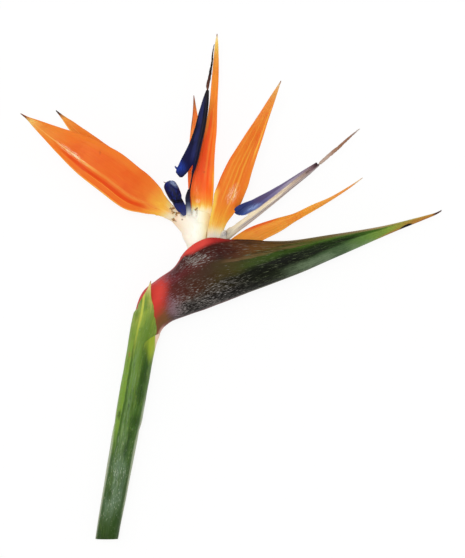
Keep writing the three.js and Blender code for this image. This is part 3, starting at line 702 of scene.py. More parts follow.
def spatheFinish():
    p = Paint("spatheSkin")
    side = abs(p.across - 0.5) * 2
    height = p.smooth(side, 0, 1)      # from the keel, 0, to the margin, 1, as seen square to the flank
    streak = p.flowGrain(48, 150, 3, 3, 0.65)
    dash = p.flowGrain(90, 250, 7, 2, 0.6)
    fibre = p.flowGrain(6, 40, 9, 5)
    cloud = p.grain(p.place, 0.07, 5, 0.6)
    patch = p.placeGrain((0.03, 0.075, 0.075))
    cloudy, fibrous, patchy = (grain - 0.5 for grain in (cloud, fibre, patch))
    level = height + patchy * 0.2 + fibrous * 0.12
    reach = (p.x + cloudy * 16 + fibrous * 6 + 40) / 182
    low, dark, green, crown = (p.ramp(reach, stops) for stops in spatheTones.values())
    bend = p.x - 21
    overDark = level - (bend * bend * 0.000067 + 0.37)
    p.skin = p.mix(low, dark, p.smooth(overDark, -0.2, -0.06))
    p.lay(green, p.smooth(level - (bend * 0.0052 + 0.55), -0.13, 0.02))
    p.lay(crown, p.smooth(level - (p.smooth(p.x, 10, 60) * 0.12 + 0.74), -0.07, 0.08))
    ink = p.bandOf(overDark, 0, 0.13) * p.window(p.x, 4, 18, 84, 100)
    p.lay("#030500", ink * p.smooth(streak * 0.5 + fibre * 0.5, 0.4, 0.58) * 0.9)
    # the brown stretch behind the flowers
    brownSide = p.window(p.x, 6, 18, 50, 78)
    crease = p.bandOf(fibre + patchy * 0.4, 0.44, 0.07) * p.smooth(level, 0.6, 0.75)
    p.lay("#1c1006", crease * brownSide * 0.55)
    tan = p.bandOf(level - bend * 0.0022, 0.74, 0.05) * brownSide
    p.lay("#7c5c3c", tan * p.smooth(fibre + streak * 0.4, 0.5, 0.75) * 0.6)
    p.lay("#7c4a1c", p.spot((15, 19), (8, 3), 0, 0.9) * p.smooth(streak, 0.35, 0.6) * 0.7)
    # the red neck, brown at its foot and pale along its hem
    p.lay("#6c2a2c", p.fall(p.along + cloudy * 0.05, 0.2, 0.34) * p.smooth(height, 0.35, 0.7) * 0.75)
    neckEdge = p.along + cloudy * 0.035 + fibrous * 0.02 + p.smooth(height, 0.5, 0.9) * -0.025
    red = p.ramp(height + cloudy * 0.3, {0: "#7a4038", 0.14: "#6c4a28", 0.3: "#7c4728", 0.43: "#b03a2a",
                                         0.55: "#c8352b", 0.8: "#cc3a30", 0.95: "#c63a36", 1: "#c24a48"})
    p.lay(red, p.fall(neckEdge, 0.215, 0.3))
    # a painted highlight on the red neck
    p.lay("#dc4c40", p.spot((-26.6, -9), (4, 7), -20, 1) * 0.4)
    p.lay("#8a4a2c", p.fall(p.along, 0.05, 0.16) * 0.8)
    p.lay("#dfaea0", p.fall(side, 0.06, 0.2) * p.fall(p.along, 0.12, 0.2) * 0.9)
    # the flushed lip: bright on the shoulder, deep crimson further out, dark just below
    lipDepth = p.window(p.x, -15, -7, 0, 13) * 0.07 + 0.03
    lip = p.smooth(side + cloudy * 0.08 + fibrous * 0.04 - (1 - lipDepth), -0.05, 0.03)
    crimson = lip * p.window(p.x, -30, -14, 10, 20)
    below = p.smooth(side + cloudy * 0.16 + fibre * 0.06, 0.72, 0.86)
    p.lay("#3c120c", below * p.window(p.x, -26, -14, 10, 26) * 0.85)
    p.lay("#a83c3a", p.smooth(side, 0.9, 0.97) * p.window(p.x, -34, -28, -16, -8) * 0.75)
    p.lay("#b82a2a", crimson * 0.8)
    p.lay("#dc4a40", lip * p.bandOf(p.x, -6, 13) * 0.9)
    p.lay("#b49a6c", p.smooth(side, 0.93, 0.99) * p.window(p.x, 34, 56, 96, 116) * 0.8)
    # pale streaks of wax, thick on the shoulder and along the keel
    density = sum(p.spot(centre, size, turn, 1) * amount for centre, size, turn, amount in waxPatches)
    wax = p.smooth(streak * 0.6 + dash * 0.4 + density + patchy * 0.3 + cloudy * 0.2, 0.54, 0.73)
    wax = wax * p.fall(p.x, 34, 60) * p.smooth(p.along, 0.2, 0.29) * (1 - crimson)
    p.lay(p.mix("#88827c", "#8c6a76", p.fall(p.x, -24, -8)), wax * 0.78)
    # painted glints: bright specks of highlight on the thickest wax of the shoulder
    paintedGlint = p.smooth(dash * 0.7 + streak * 0.3, 0.57, 0.65) * p.smooth(density, 0.03, 0.14)
    p.lay("#d4d2d2", paintedGlint * p.smooth(p.x, -24, -14) * 0.55)
    # mottling and flecks of the green part
    mottle = p.smooth(streak * 0.4 + fibre * 0.3 + patch * 0.3, 0.5, 0.6) * p.fall(level, 0.8, 0.92)
    p.lay("#142206", mottle * p.window(p.x, 8, 30, 96, 124) * 0.5)
    fleck = p.smooth(streak * 0.5 + dash * 0.5 + patchy * 0.1, 0.54, 0.62) * p.fall(level, 0.86, 0.96)
    p.lay("#76875a", fleck * p.window(p.x, 12, 40, 100, 124) * 0.4)
    # the keel, with a painted sheen just above it, where the flank turned down towards the table reflects
    # its light
    paintedSheen = p.bandOf(height, 0.16, 0.24) * p.window(p.x, 40, 62, 98, 112)
    p.lay("#7d9070", paintedSheen * p.smooth(cloud + streak * 0.6 + fibre * 0.3, 0.84, 1.08) * 0.5)
    keel = p.fall(side, 0.02, 0.12)
    p.lay("#8d6a68", keel * p.smooth(p.along, 0.2, 0.26) * p.fall(p.x, 12, 34) * 0.8)
    p.lay("#6a6238", keel * p.window(p.x, 16, 34, 60, 80) * 0.6)
    # the dry streaks and the black spot near the tip
    p.lay("#a8682c", p.spot((112, 25.1), (11, 1.5), 24, 0.9))
    p.lay("#b0682c", p.spot((130, 32.4), (9, 1.3), 25, 0.9) * 0.9)
    p.lay("#120503", p.smooth(p.spot((120.4, 29), (4.8, 1.5), 26, 0.7), 0.2, 0.6))
    p.lay("#4a2318", p.smooth(p.x, 135.5, 138.5))
    return p.finish(0.42 + wax * 0.3, p.bump(fibre * 0.5 + streak * 0.4 + dash * 0.2, 0.45, 0.9), 0.1)


def spatheLiningFinish():
    p = Paint("spatheLining")
    fibre = p.flowGrain(8, 60, 2, 4)
    p.skin = p.ramp(p.x * 0.006 + 0.3, {0: "#d99a86", 0.4: "#e3b79d", 0.7: "#c9c08a", 1: "#b9b070"})
    p.lay("#b46a58", p.smooth(fibre, 0.5, 0.8) * 0.5)
    return p.finish(0.3, p.bump(fibre, 0.3, 0.7), glow=0.15)


def makeSpathe():
    keel = Spine([(x, y, spathe["median"]) for x, y in spathe["keel"]])
    margin = Spine([(x, y, spathe["median"]) for x, y in spathe["margin"]])
    half, gap = curves(spathe, "half gap")
    last = len(spathe["keel"]) - 1

    def point(t, s, side):
        station = t * last
        low = keel.raw(t)
        rise = margin.raw(t) - low
        height = rise.length
        rise.normalize()
        width = half(station)
        spread = math.pi - math.asin(min(0.98, gap(station) / width))
        angle = s * spread
        rim = abs(s) ** 14
        wall = min(spathe["wall"], 0.8 * width, 0.36 * height) * (1 - 0.35 * rim)
        wave = 0.16 * noise.noise(Vector((station * 1.4, s * 3.4, 2)))
        wave += 0.05 * math.sin(angle * 23 + station)
        swell = 0.35 * rim * (1 if 4.4 < station < 7.6 else 0.2)
        inset = (0 if side > 0 else wall) - (wave * min(1, width / 6) + swell) * (1 if side > 0 else 0.5)
        middle = height / 2
        place = low + rise * (middle - (middle - inset) * math.cos(angle))
        z = spathe["median"] + (width - inset) * math.sin(angle)
        beak = max(0, (place.x - spathe["beakFrom"]) / 6) ** 2 * 1.1
        return Vector((place.x, place.y + beak, max(z, 0.02)))

    piece = bladeMesh("spatheBoat", *spathe["mesh"], point, [spatheFinish(), spatheLiningFinish()])
    settle(piece, "spathe")


makeSpathe()
print("spathe made")


# fleshy tubes: a trunk from the rachis and an arm to each organ, grown into one body

tubes = {
    "flower_a_tube": {
        "piece": "leftFlowerTube",
        "voxel": 0.42,
        "arms": [
            {"spine": [(-3.4, -4, 12), (-4.2, 10.4, 12.6), (-5.1, 19.2, 13), (-6, 25.2, 13),
                (-6.9, 30.6, 13)],
             "wide": {0: 4.6, 0.4: 5.2, 0.66: 6.3, 0.85: 8.1, 1: 8},
             "deep": {0: 4.2, 0.66: 4.5, 1: 4}},
            {"spine": [(-7, 27, 13.6), (-12.6, 32, 15), (-18.2, 36.1, 16)],
             "wide": {0: 7, 0.5: 5.6, 1: 4.1}, "deep": {0: 3.4, 1: 2.1}},
            {"spine": [(-7, 27, 12), (-12.6, 32, 9.8), (-18.6, 36.4, 8.2)],
             "wide": {0: 6.4, 0.5: 5, 1: 3.6}, "deep": {0: 3.4, 1: 2}},
            {"spine": [(-5.2, 26, 12.6), (-3.4, 33, 12.4), (-2, 38.6, 12.2)],
             "wide": {0: 7, 0.5: 6.6, 1: 5.5}, "deep": {0: 3.8, 1: 1.9}},
            {"spine": [(-9, 28.6, 13.6), (-10.2, 33, 14), (-10.6, 36.4, 14.4)],
             "wide": {0: 4.6, 1: 2.6}, "deep": {0: 3.6, 1: 2.4}},
        ],
    },
    "flower_b_tube": {
        "piece": "rightFlowerTube",
        "voxel": 0.4,
        "arms": [
            {"spine": [(6.2, -3, 12), (7.4, 6, 12), (8.4, 12, 12), (8.6, 16.4, 12)],
             "wide": {0: 3.6, 0.4: 4.6, 0.8: 5.4, 1: 4.6}, "deep": {0: 3.6, 0.5: 4.6, 1: 3.8}},
            {"spine": [(8.4, 8.6, 12), (12.6, 12.2, 11.6), (16.4, 15.6, 11.2)],
             "wide": {0: 4, 1: 3.4}, "deep": {0: 3, 1: 1.9}},
        ],
    },
}


# old sap and bruises on the tubes: place, size, turn, colour, amount
tubeStains = [
    ((-16.8, 39.4), (3.6, 1.8), -35, "#8a5a34", 1), ((-13.6, 36.4), (2, 1.6), -50, "#5c5560", 0.85),
    ((-18.6, 36.4), (2.4, 1.2), -35, "#b07c46", 0.6), ((-10, 39.6), (2.6, 4.4), 10, "#7f8ea2", 0.95),
    ((-10.4, 42.6), (1.8, 3), 10, "#2c3242", 0.9), ((-5.6, 41), (0.7, 2.6), 14, "#a5672f", 0.85),
    ((-5, 38), (0.9, 3.6), -8, "#b09a86", 0.7), ((-7.4, 43), (1.4, 1.6), 0, "#b9a392", 0.6),
    ((-13.8, 33.4), (0.7, 0.6), 0, "#8a5a2c", 0.8), ((-12.2, 35), (0.5, 0.4), 0, "#a06a3c", 0.7),
    ((-18.6, 33.2), (2, 0.7), -38, "#8a5c30", 0.9), ((-22, 36), (3, 0.8), -24, "#b98a50", 0.6),
    ((12.6, 26), (4.6, 1.8), 32, "#59616e", 0.9), ((9, 24.6), (3, 1.2), 20, "#9a9a98", 0.6),
    ((1.2, 25), (0.8, 3.4), -14, "#b8803c", 0.85), ((4.2, 25.8), (0.5, 0.5), 0, "#5a4a3a", 0.9),
]


def tubeFinish():
    p = Paint("fleshyTube")
    fibre = p.placeGrain((1.6, 0.22, 1.2))
    cloud = p.grain(p.place, 0.22, 4)
    fleck = p.grain(p.place, 1.3, 4, 0.7)
    p.skin = p.ramp((p.x + 22) / 44, {
        0: "#eecb9c", 0.12: "#f2dcc0", 0.27: "#fbf3e2", 0.36: "#fefdf0", 0.44: "#fdfbe2", 0.5: "#faeec0",
        0.56: "#efdca4", 0.64: "#eadcb8", 1: "#d8c8a8"})
    p.lay("#f1dca8", p.smooth(fibre, 0.55, 0.75) * 0.3)
    p.lay("#d8cbb0", p.smooth(p.x, -1, 4) * p.smooth(fibre + cloud * 0.3, 0.62, 0.85) * 0.5)
    ragged = p.smooth(fleck + cloud * 0.4, 0.54, 0.72) * 0.7 + 0.3
    for centre, size, turn, code, amount in tubeStains:
        p.lay(code, p.spot(centre, size, turn, 0.9) * ragged * amount)
    return p.finish(0.42, p.bump(fibre * 0.6 + fleck * 0.25, 0.3, 0.7), 0.2, 0.1, 0.0015)


def makeTubes():
    finish = tubeFinish()
    for node, look in tubes.items():
        arms = [tubeMesh(look["piece"] + str(i), stalkRings(arm, 28, 24), [finish])
            for i, arm in enumerate(look["arms"])]
        piece = fuse(joined(look["piece"], arms), look["voxel"], 6)
        settle(piece, node)


makeTubes()
print("tubes made")


# the six orange sepals: sizes as on the solids, then what colours each one
# (a band is its place and half width across the blade, its start and end along it, colour, amount,
# and a mark is its place, size, turn, colour and amount)

sepals = {
    "flower_a_sepal_near": {
        "piece": "leftNearSepal",
        "spine": [(-15.8, 34.4, 15.6), (-19.6, 36.7, 16.4), (-34.3, 46.3, 19), (-44.6, 52.3, 21),
            (-56.5, 61.6, 23.2), (-69, 69.8, 25), (-94.3, 86.1, 27), (-110.2, 96.6, 27.6)],
        "half": {0: 3.8, 0.05: 4.2, 0.11: 5.9, 0.17: 9.2, 0.29: 12.7, 0.43: 12.9, 0.57: 11.6, 0.7: 8.6,
            0.83: 4.8, 0.91: 2.4, 0.96: 0.8, 1: 0.2},
        "thick": {0: 4, 0.06: 3, 0.16: 1.3, 0.3: 0.9, 1: 0.7},
        "cup": {0: 0.05, 0.3: 0.2, 0.7: 0.24, 1: 0.1},
        "crease": {0: 0, 0.15: -0.26, 0.7: -0.3, 1: -0.1},
        "creaseAt": 0.33,
        "roll": {0: 0, 0.3: -8, 1: -14},
        "across": 64,
        "ragged": (0.03, 0.17, 1),
        "colours": {0: "#ece0ca", 0.055: "#ecdab4", 0.08: "#efc978", 0.105: "#efb344", 0.15: "#ec9a34",
            0.2: "#e97826", 0.3: "#e6641f", 0.5: "#e7671f", 0.72: "#e97523", 0.87: "#ea9038",
            0.93: "#eabc63", 0.957: "#bc8545", 0.972: "#4d2709", 1: "#200000"},
        # the two bands at 0.665 are a painted highlight along the fold's ridge, and the deep red band at
        # 0.785 is painted shade in the trough below it
        "bands": [(0.0, 0.26, 0.25, 1.1, "#ea7f29", 0.7), (0.665, 0.05, 0.05, 0.7, "#e9903a", 0.6),
            (0.665, 0.04, 0.45, 1.02, "#eeac52", 0.75), (0.785, 0.075, 0.12, 0.76, "#de4209", 0.85),
            (0.84, 0.012, 0.2, 0.6, "#ee9c34", 0.7), (0.9, 0.07, 0.2, 0.9, "#ea7726", 0.6),
            (1.0, 0.045, 0.1, 1.02, "#eeac43", 0.8), (0.45, 0.2, 0.02, 0.22, "#ec9e31", 0.5)],
        # the first mark is a painted highlight on that ridge, and the deep red ones at (-30.6, 40.4) and
        # (-40, 45.5) are painted shade where the trough runs in
        "marks": [((-79.6, 73), (11, 1.6), -38, "#fbeed2", 1), ((-25, 40.6), (7, 3), -32, "#f6c040", 0.9),
            ((-30.6, 40.4), (5, 1.5), -30, "#e2501c", 0.7), ((-62.8, 73.2), (0.7, 1.4), 0, "#c5501c", 0.6),
            ((-40, 45.5), (9, 1.6), -33, "#dc4316", 0.45)],
    },
    "flower_a_sepal_far": {
        "piece": "leftFarSepal",
        "spine": [(-16.4, 34.8, 8.8), (-20.4, 37.6, 7.8), (-39.1, 52.3, 6), (-54.8, 66.1, 5.3),
            (-66.2, 76.8, 4.4), (-78.9, 88.7, 2.2), (-90, 99.3, 0.4)],
        "half": {0: 3.5, 0.06: 4, 0.28: 8.8, 0.45: 9, 0.62: 6.7, 0.74: 5.1, 0.86: 3.2, 0.94: 1.2, 1: 0.2},
        "thick": {0: 3.6, 0.08: 2.4, 0.2: 1.2, 0.3: 0.9, 1: 0.6},
        "cup": {0: -0.05, 0.4: -0.2, 1: -0.1},
        "crease": {0: 0, 0.2: 0.25, 0.7: 0.25, 1: 0},
        "creaseAt": 0.1,
        "roll": {0: 0, 0.25: 26, 0.8: 30, 1: 20},
        "across": 44,
        "colours": {0: "#f3e3bc", 0.06: "#ecb254", 0.14: "#e8852b", 0.4: "#e56b22", 0.66: "#e86f24",
            0.8: "#e98228", 0.92: "#eaa143", 0.955: "#b1753c", 0.97: "#432002", 1: "#1c0000"},
        "bands": [(1.0, 0.14, 0.5, 1, "#eeb04f", 0.9), (0.55, 0.06, 0.3, 0.95, "#e99c43", 0.5),
            (0.1, 0.12, 0.4, 0.95, "#ea872e", 0.6)],
        "marks": [((-70, 78.5), (5, 0.8), -60, "#f8dfb0", 0.7)],
    },
    "flower_a_sepal_median": {
        "piece": "leftMedianSepal",
        "spine": [(-2.4, 36, 12.2), (-1.9, 43, 12), (-1.9, 52.3, 11.6), (-1.1, 61.3, 11.4), (1.6, 77.9, 12),
            (3.5, 88, 12.6), (6, 117.8, 14.6), (7.1, 144.7, 16.4)],
        "half": {0: 5.9, 0.06: 6.3, 0.15: 7, 0.23: 6.5, 0.31: 5.4, 0.39: 4.5, 0.48: 3.5, 0.62: 2.4, 0.77: 2,
            0.94: 1, 1: 0.2},
        "thick": {0: 3.4, 0.07: 2.4, 0.16: 1.2, 0.3: 0.9, 1: 0.7},
        "cup": {0: 0, 0.2: 0.1, 1: 0.1},
        "crease": {0: 0, 0.15: -0.18, 0.5: -0.32, 1: -0.5},
        "creaseAt": -0.2,
        "roll": {0: 0, 0.3: 4, 1: 8},
        "across": 44,
        "colours": {0: "#fdf2cc", 0.03: "#fdeec0", 0.045: "#fcdc88", 0.056: "#f7c250", 0.07: "#f8a63a",
            0.092: "#f98a2a", 0.135: "#fb6e1c", 0.2: "#fb5c14", 0.4: "#fb6416", 0.55: "#fa8222",
            0.7: "#f58e28", 0.82: "#f09a34", 0.9: "#f1bb52", 0.95: "#f3ca64", 0.98: "#f5dfa4",
            0.992: "#96623c", 1: "#653e28"},
        # the wide band at 1.0 from 0.4 to 0.85 is painted light: a paler orange on the side that the left
        # tongue shades
        "bands": [(0.66, 0.22, 0.16, 0.62, "#f84a0e", 0.7), (0.1, 0.2, 0.1, 0.8, "#fb8c30", 0.75),
            (0.4, 0.07, 0.15, 0.95, "#f98f2c", 0.5), (0.0, 0.12, 0.05, 0.3, "#fab634", 0.8),
            (1.0, 0.35, 0.4, 0.85, "#ff9a3c", 0.8), (1.0, 0.06, 0.1, 0.9, "#f08a30", 0.5)],
        "marks": [((-5, 50.6), (1.4, 5), 6, "#f8a868", 0.75), ((-6.6, 46.4), (1.2, 2), 0, "#9c4a22", 0.8),
            ((-4.4, 44.6), (1.6, 1.4), 0, "#f4ead2", 0.9), ((-0.6, 62), (0.8, 0.8), 0, "#c2441e", 0.6)],
    },
    "flower_b_sepal_near": {
        "piece": "rightNearSepal",
        "spine": [(4.8, 14.6, 14), (5.6, 24.2, 15.6), (8, 32.9, 17.6), (11.4, 40.7, 19.2),
            (17.2, 55.2, 21.4), (21, 65.3, 23), (30, 84.4, 25.4), (39.1, 103.2, 27), (45.3, 116.1, 27.6)],
        "half": {0: 3.6, 0.08: 4.4, 0.16: 5.1, 0.24: 7, 0.31: 8.7, 0.385: 8.8, 0.49: 7.9, 0.58: 6.6,
            0.68: 5.1, 0.775: 3.5, 0.875: 2.1, 0.94: 1.1, 1: 0.2},
        "thick": {0: 2.8, 0.12: 2.4, 0.22: 1.3, 0.34: 0.9, 1: 0.7},
        "cup": {0: 0, 0.3: -0.16, 0.7: -0.1, 1: 0},
        "crease": {0: 0, 0.35: 0.12, 0.6: 0.36, 1: 0.3},
        "creaseAt": -0.45,
        "roll": {0: 0, 0.3: 8, 1: 4},
        "across": 60,
        "colours": {0: "#e8e0ce", 0.09: "#eadfc8", 0.12: "#ecd59c", 0.145: "#efbd58", 0.175: "#eeaa3c",
            0.22: "#ea902c", 0.28: "#e87c28", 0.45: "#e87d27", 0.7: "#e77f29", 0.85: "#e88c38",
            0.94: "#e4a250", 0.98: "#e0bc92", 0.99: "#9c6f49", 1: "#855633"},
        "bands": [(0.37, 0.04, 0.16, 0.66, "#f0a93e", 0.7), (0.53, 0.025, 0.3, 0.9, "#f0a63a", 0.8),
            (0.68, 0.035, 0.22, 0.6, "#eea43e", 0.55), (0.82, 0.03, 0.3, 0.8, "#ec9c3d", 0.5),
            (0.3, 0.02, 0.3, 0.85, "#e0601c", 0.6), (0.46, 0.04, 0.25, 0.6, "#e2641c", 0.5),
            (0.61, 0.02, 0.35, 0.7, "#e46a20", 0.5), (0.13, 0.05, 0.5, 0.93, "#f4b840", 0.85),
            (0.2, 0.06, 0.15, 0.7, "#e56c22", 0.5), (0.96, 0.1, 0.16, 0.6, "#e46b23", 0.6),
            (0.02, 0.07, 0.14, 0.9, "#ec9233", 0.5), (1.0, 0.2, 0.1, 0.36, "#f4ca54", 0.9)],
        # the first mark is a painted highlight, a glossy patch on the blade
        "marks": [((16.4, 48.6), (3.2, 6.4), -26, "#fbe6c2", 1),
            ((8.6, 34.6), (1.4, 7), -14, "#e55e1e", 0.5), ((3.2, 30), (1.4, 9), -6, "#f3cb68", 0.9)],
    },
    "flower_b_sepal_far": {
        "piece": "rightFarSepal",
        "spine": [(3.8, 14.6, 9.8), (1.8, 22, 8), (-0.9, 29.4, 6.3), (-4.5, 46.8, 5), (-6, 63, 4.6),
            (-6, 78, 4.6), (-6, 90, 5), (-6.3, 99, 5.4), (-6.9, 108.2, 5.8)],
        "half": {0: 2.6, 0.08: 3, 0.18: 4, 0.36: 5.2, 0.52: 4.6, 0.67: 3.8, 0.79: 2.8, 0.88: 1.5, 0.94: 0.8,
            1: 0.2},
        "thick": {0: 2.2, 0.12: 1.6, 0.25: 1, 1: 0.7},
        "cup": {0: 0, 0.3: -0.2, 1: -0.2},
        "crease": {0: 0, 0.3: 0.2, 0.7: 0.4, 1: 0.3},
        "creaseAt": 0.2,
        "roll": {0: 0, 0.4: -6, 1: -10},
        "across": 36,
        # the bright stops at 0.6 and 0.78 are painted light, lifting the upper part out of the shade it
        # lies in
        "colours": {0: "#efdeb4", 0.1: "#eabc65", 0.2: "#f27c2a", 0.4: "#fa752c", 0.6: "#ff8636",
            0.78: "#ff9a44", 0.88: "#f08a40", 0.95: "#b4683a", 1: "#7a4426"},
        "bands": [(0.6, 0.08, 0.3, 0.95, "#e0561c", 0.5), (0.98, 0.16, 0.72, 1.1, "#7a3a14", 0.85)],
        "marks": [],
    },
    "flower_b_sepal_median": {
        "piece": "rightMedianSepal",
        "spine": [(13, 13, 11.2), (20, 18.2, 10.7), (30.8, 24.8, 10.4), (42, 29.6, 10.4),
            (54.6, 35.3, 10.6), (64.7, 40.6, 11), (75.3, 46, 11.4), (87.1, 53.3, 12), (94.4, 58.5, 12.5)],
        "half": {0: 3.8, 0.09: 5.5, 0.17: 5.6, 0.25: 5.1, 0.38: 4.1, 0.51: 2.3, 0.63: 1.85, 0.76: 1,
            0.9: 0.55, 1: 0.15},
        "thick": {0: 2.4, 0.1: 1.6, 0.22: 0.9, 1: 0.6},
        "cup": {0: 0, 0.4: 0.08, 1: 0.1},
        "crease": {0: 0, 0.2: -0.14, 0.6: -0.4, 1: -0.4},
        "creaseAt": 0.1,
        "roll": {0: 0, 0.4: -4, 1: -6},
        "across": 44,
        "colours": {0: "#e5c485", 0.08: "#e8942e", 0.3: "#ea912d", 0.55: "#eb9c32", 0.75: "#e99d43",
            0.9: "#e69d4f", 0.97: "#e0b97f", 1: "#b58554"},
        "bands": [(0.94, 0.17, 0.14, 0.42, "#e4601c", 0.9), (0.3, 0.03, 0.1, 0.7, "#efa945", 0.5),
            (0.5, 0.025, 0.1, 0.8, "#e47f24", 0.45), (0.68, 0.025, 0.1, 0.7, "#eea641", 0.5),
            (0.9, 0.12, 0.5, 0.95, "#f0b040", 0.75), (0.05, 0.08, 0.2, 0.9, "#eeac43", 0.6)],
        "marks": [],
    },
}


def leafPoint(look, seed, ripple):
    spine = Spine(look["spine"])
    half, thick, turn, lift, fold = curves(look, "half thick roll cup crease")
    creaseAt = look.get("creaseAt", 0)
    softness = 0.15
    raggedFrom, raggedTo, raggedSide = look.get("ragged", (0, 0, 1))

    def point(t, s, side):
        bend = math.hypot(s - creaseAt, softness)
        rise = lift(t) * s * s + fold(t) * (bend - math.hypot(creaseAt, softness))
        slope = 2 * lift(t) * s + fold(t) * (s - creaseAt) / bend
        body = max(0.5, thick(t) * (1 - 0.45 * s * s)) * (1 - 0.6 * s ** 8) / 2
        offset = side * min(body, half(t) * 0.8 + 0.1)
        width = half(t)
        if raggedFrom < t < raggedTo and s * raggedSide > 0.7:
            torn = noise.noise(Vector((t * 210, 3, seed))) + 0.7 * noise.noise(Vector((t * 520, 9, seed)))
            width *= 1 + 0.09 * torn * (s * raggedSide - 0.7) / 0.3
        reach = min(1, 6 * t) * min(1, width / 4)
        wave = ripple * reach * noise.noise(Vector((t * 7, s * 1.3, seed)))
        wave += ripple * 0.5 * reach * abs(s) ** 3 * noise.noise(Vector((t * 19, s, seed + 5)))
        vein = 0.035 * reach * math.sin(s * look.get("across", 40) * 0.42 + seed)
        origin, _, left, up = spine.frame(t, turn(t))
        lifted = width * rise + offset + wave + vein * side
        place = origin + left * (width * s - offset * slope) + up * lifted
        return Vector((place.x, place.y, max(place.z, 0.03)))

    return point


def sepalFinish(look, seed):
    p = Paint(look["piece"] + "Skin")
    wide = max(look["half"].values()) * 2
    fibre = p.flowGrain(9, wide * 1.1, seed, 5, 0.6)
    vein = p.flowGrain(3, wide * 2.6, seed + 20, 3, 0.6)
    cloud = p.grain(p.place, 0.07, 4)
    scuff = p.flowGrain(26, wide * 1.9, seed + 40, 4, 0.75)
    p.skin = p.ramp(p.along + (fibre - 0.5) * 0.05, look["colours"])
    body = p.window(p.along, 0.1, 0.2, 0.9, 0.96)
    p.lay("#ea8c24", p.smooth(fibre, 0.5, 0.72) * body * 0.3)
    p.lay("#dc4612", p.smooth(cloud + vein * 0.3, 0.62, 0.86) * body * 0.35)
    for centre, half, start, end, code, amount in look["bands"]:
        soft = min(0.12, (end - start) * 0.3)
        reach = p.window(p.along, start, start + soft, end - soft, end)
        band = p.bandOf(p.across + (cloud - 0.5) * 0.05, centre, half)
        p.lay(code, band * reach * (0.6 + fibre * 0.8) * amount)
    p.lay("#ee9c2c", p.smooth(vein, 0.6, 0.74) * body * 0.3)
    streaked, clouded = p.smooth(scuff, 0.46, 0.62), 0.5 + cloud * 0.5
    # marks wider than 1 mm are broken up by the streaky grain; among them are the painted highlights on the
    # sepals
    for centre, size, turn, code, amount in look["marks"]:
        p.lay(code, p.spot(centre, size, turn, 0.8) * (clouded if min(size) < 1 else streaked) * amount)
    rough = 0.36 + p.smooth(scuff, 0.5, 0.8) * 0.15
    relief = fibre * 0.45 + vein * 0.5 + scuff * 0.15
    return p.finish(rough, p.bump(relief, 0.3, 0.75), 0.12, 0.12, 0.0012)


def makeSepals():
    for seed, (node, look) in enumerate(sepals.items()):
        point = leafPoint(look, seed * 3.7, 0.55)
        piece = bladeMesh(look["piece"], 150, look["across"], point, [sepalFinish(look, seed)])
        settle(piece, node)


makeSepals()
print("sepals made")


# the arrow-shaped tongues: a grooved shaft with two barbed wings, its stamens and its style

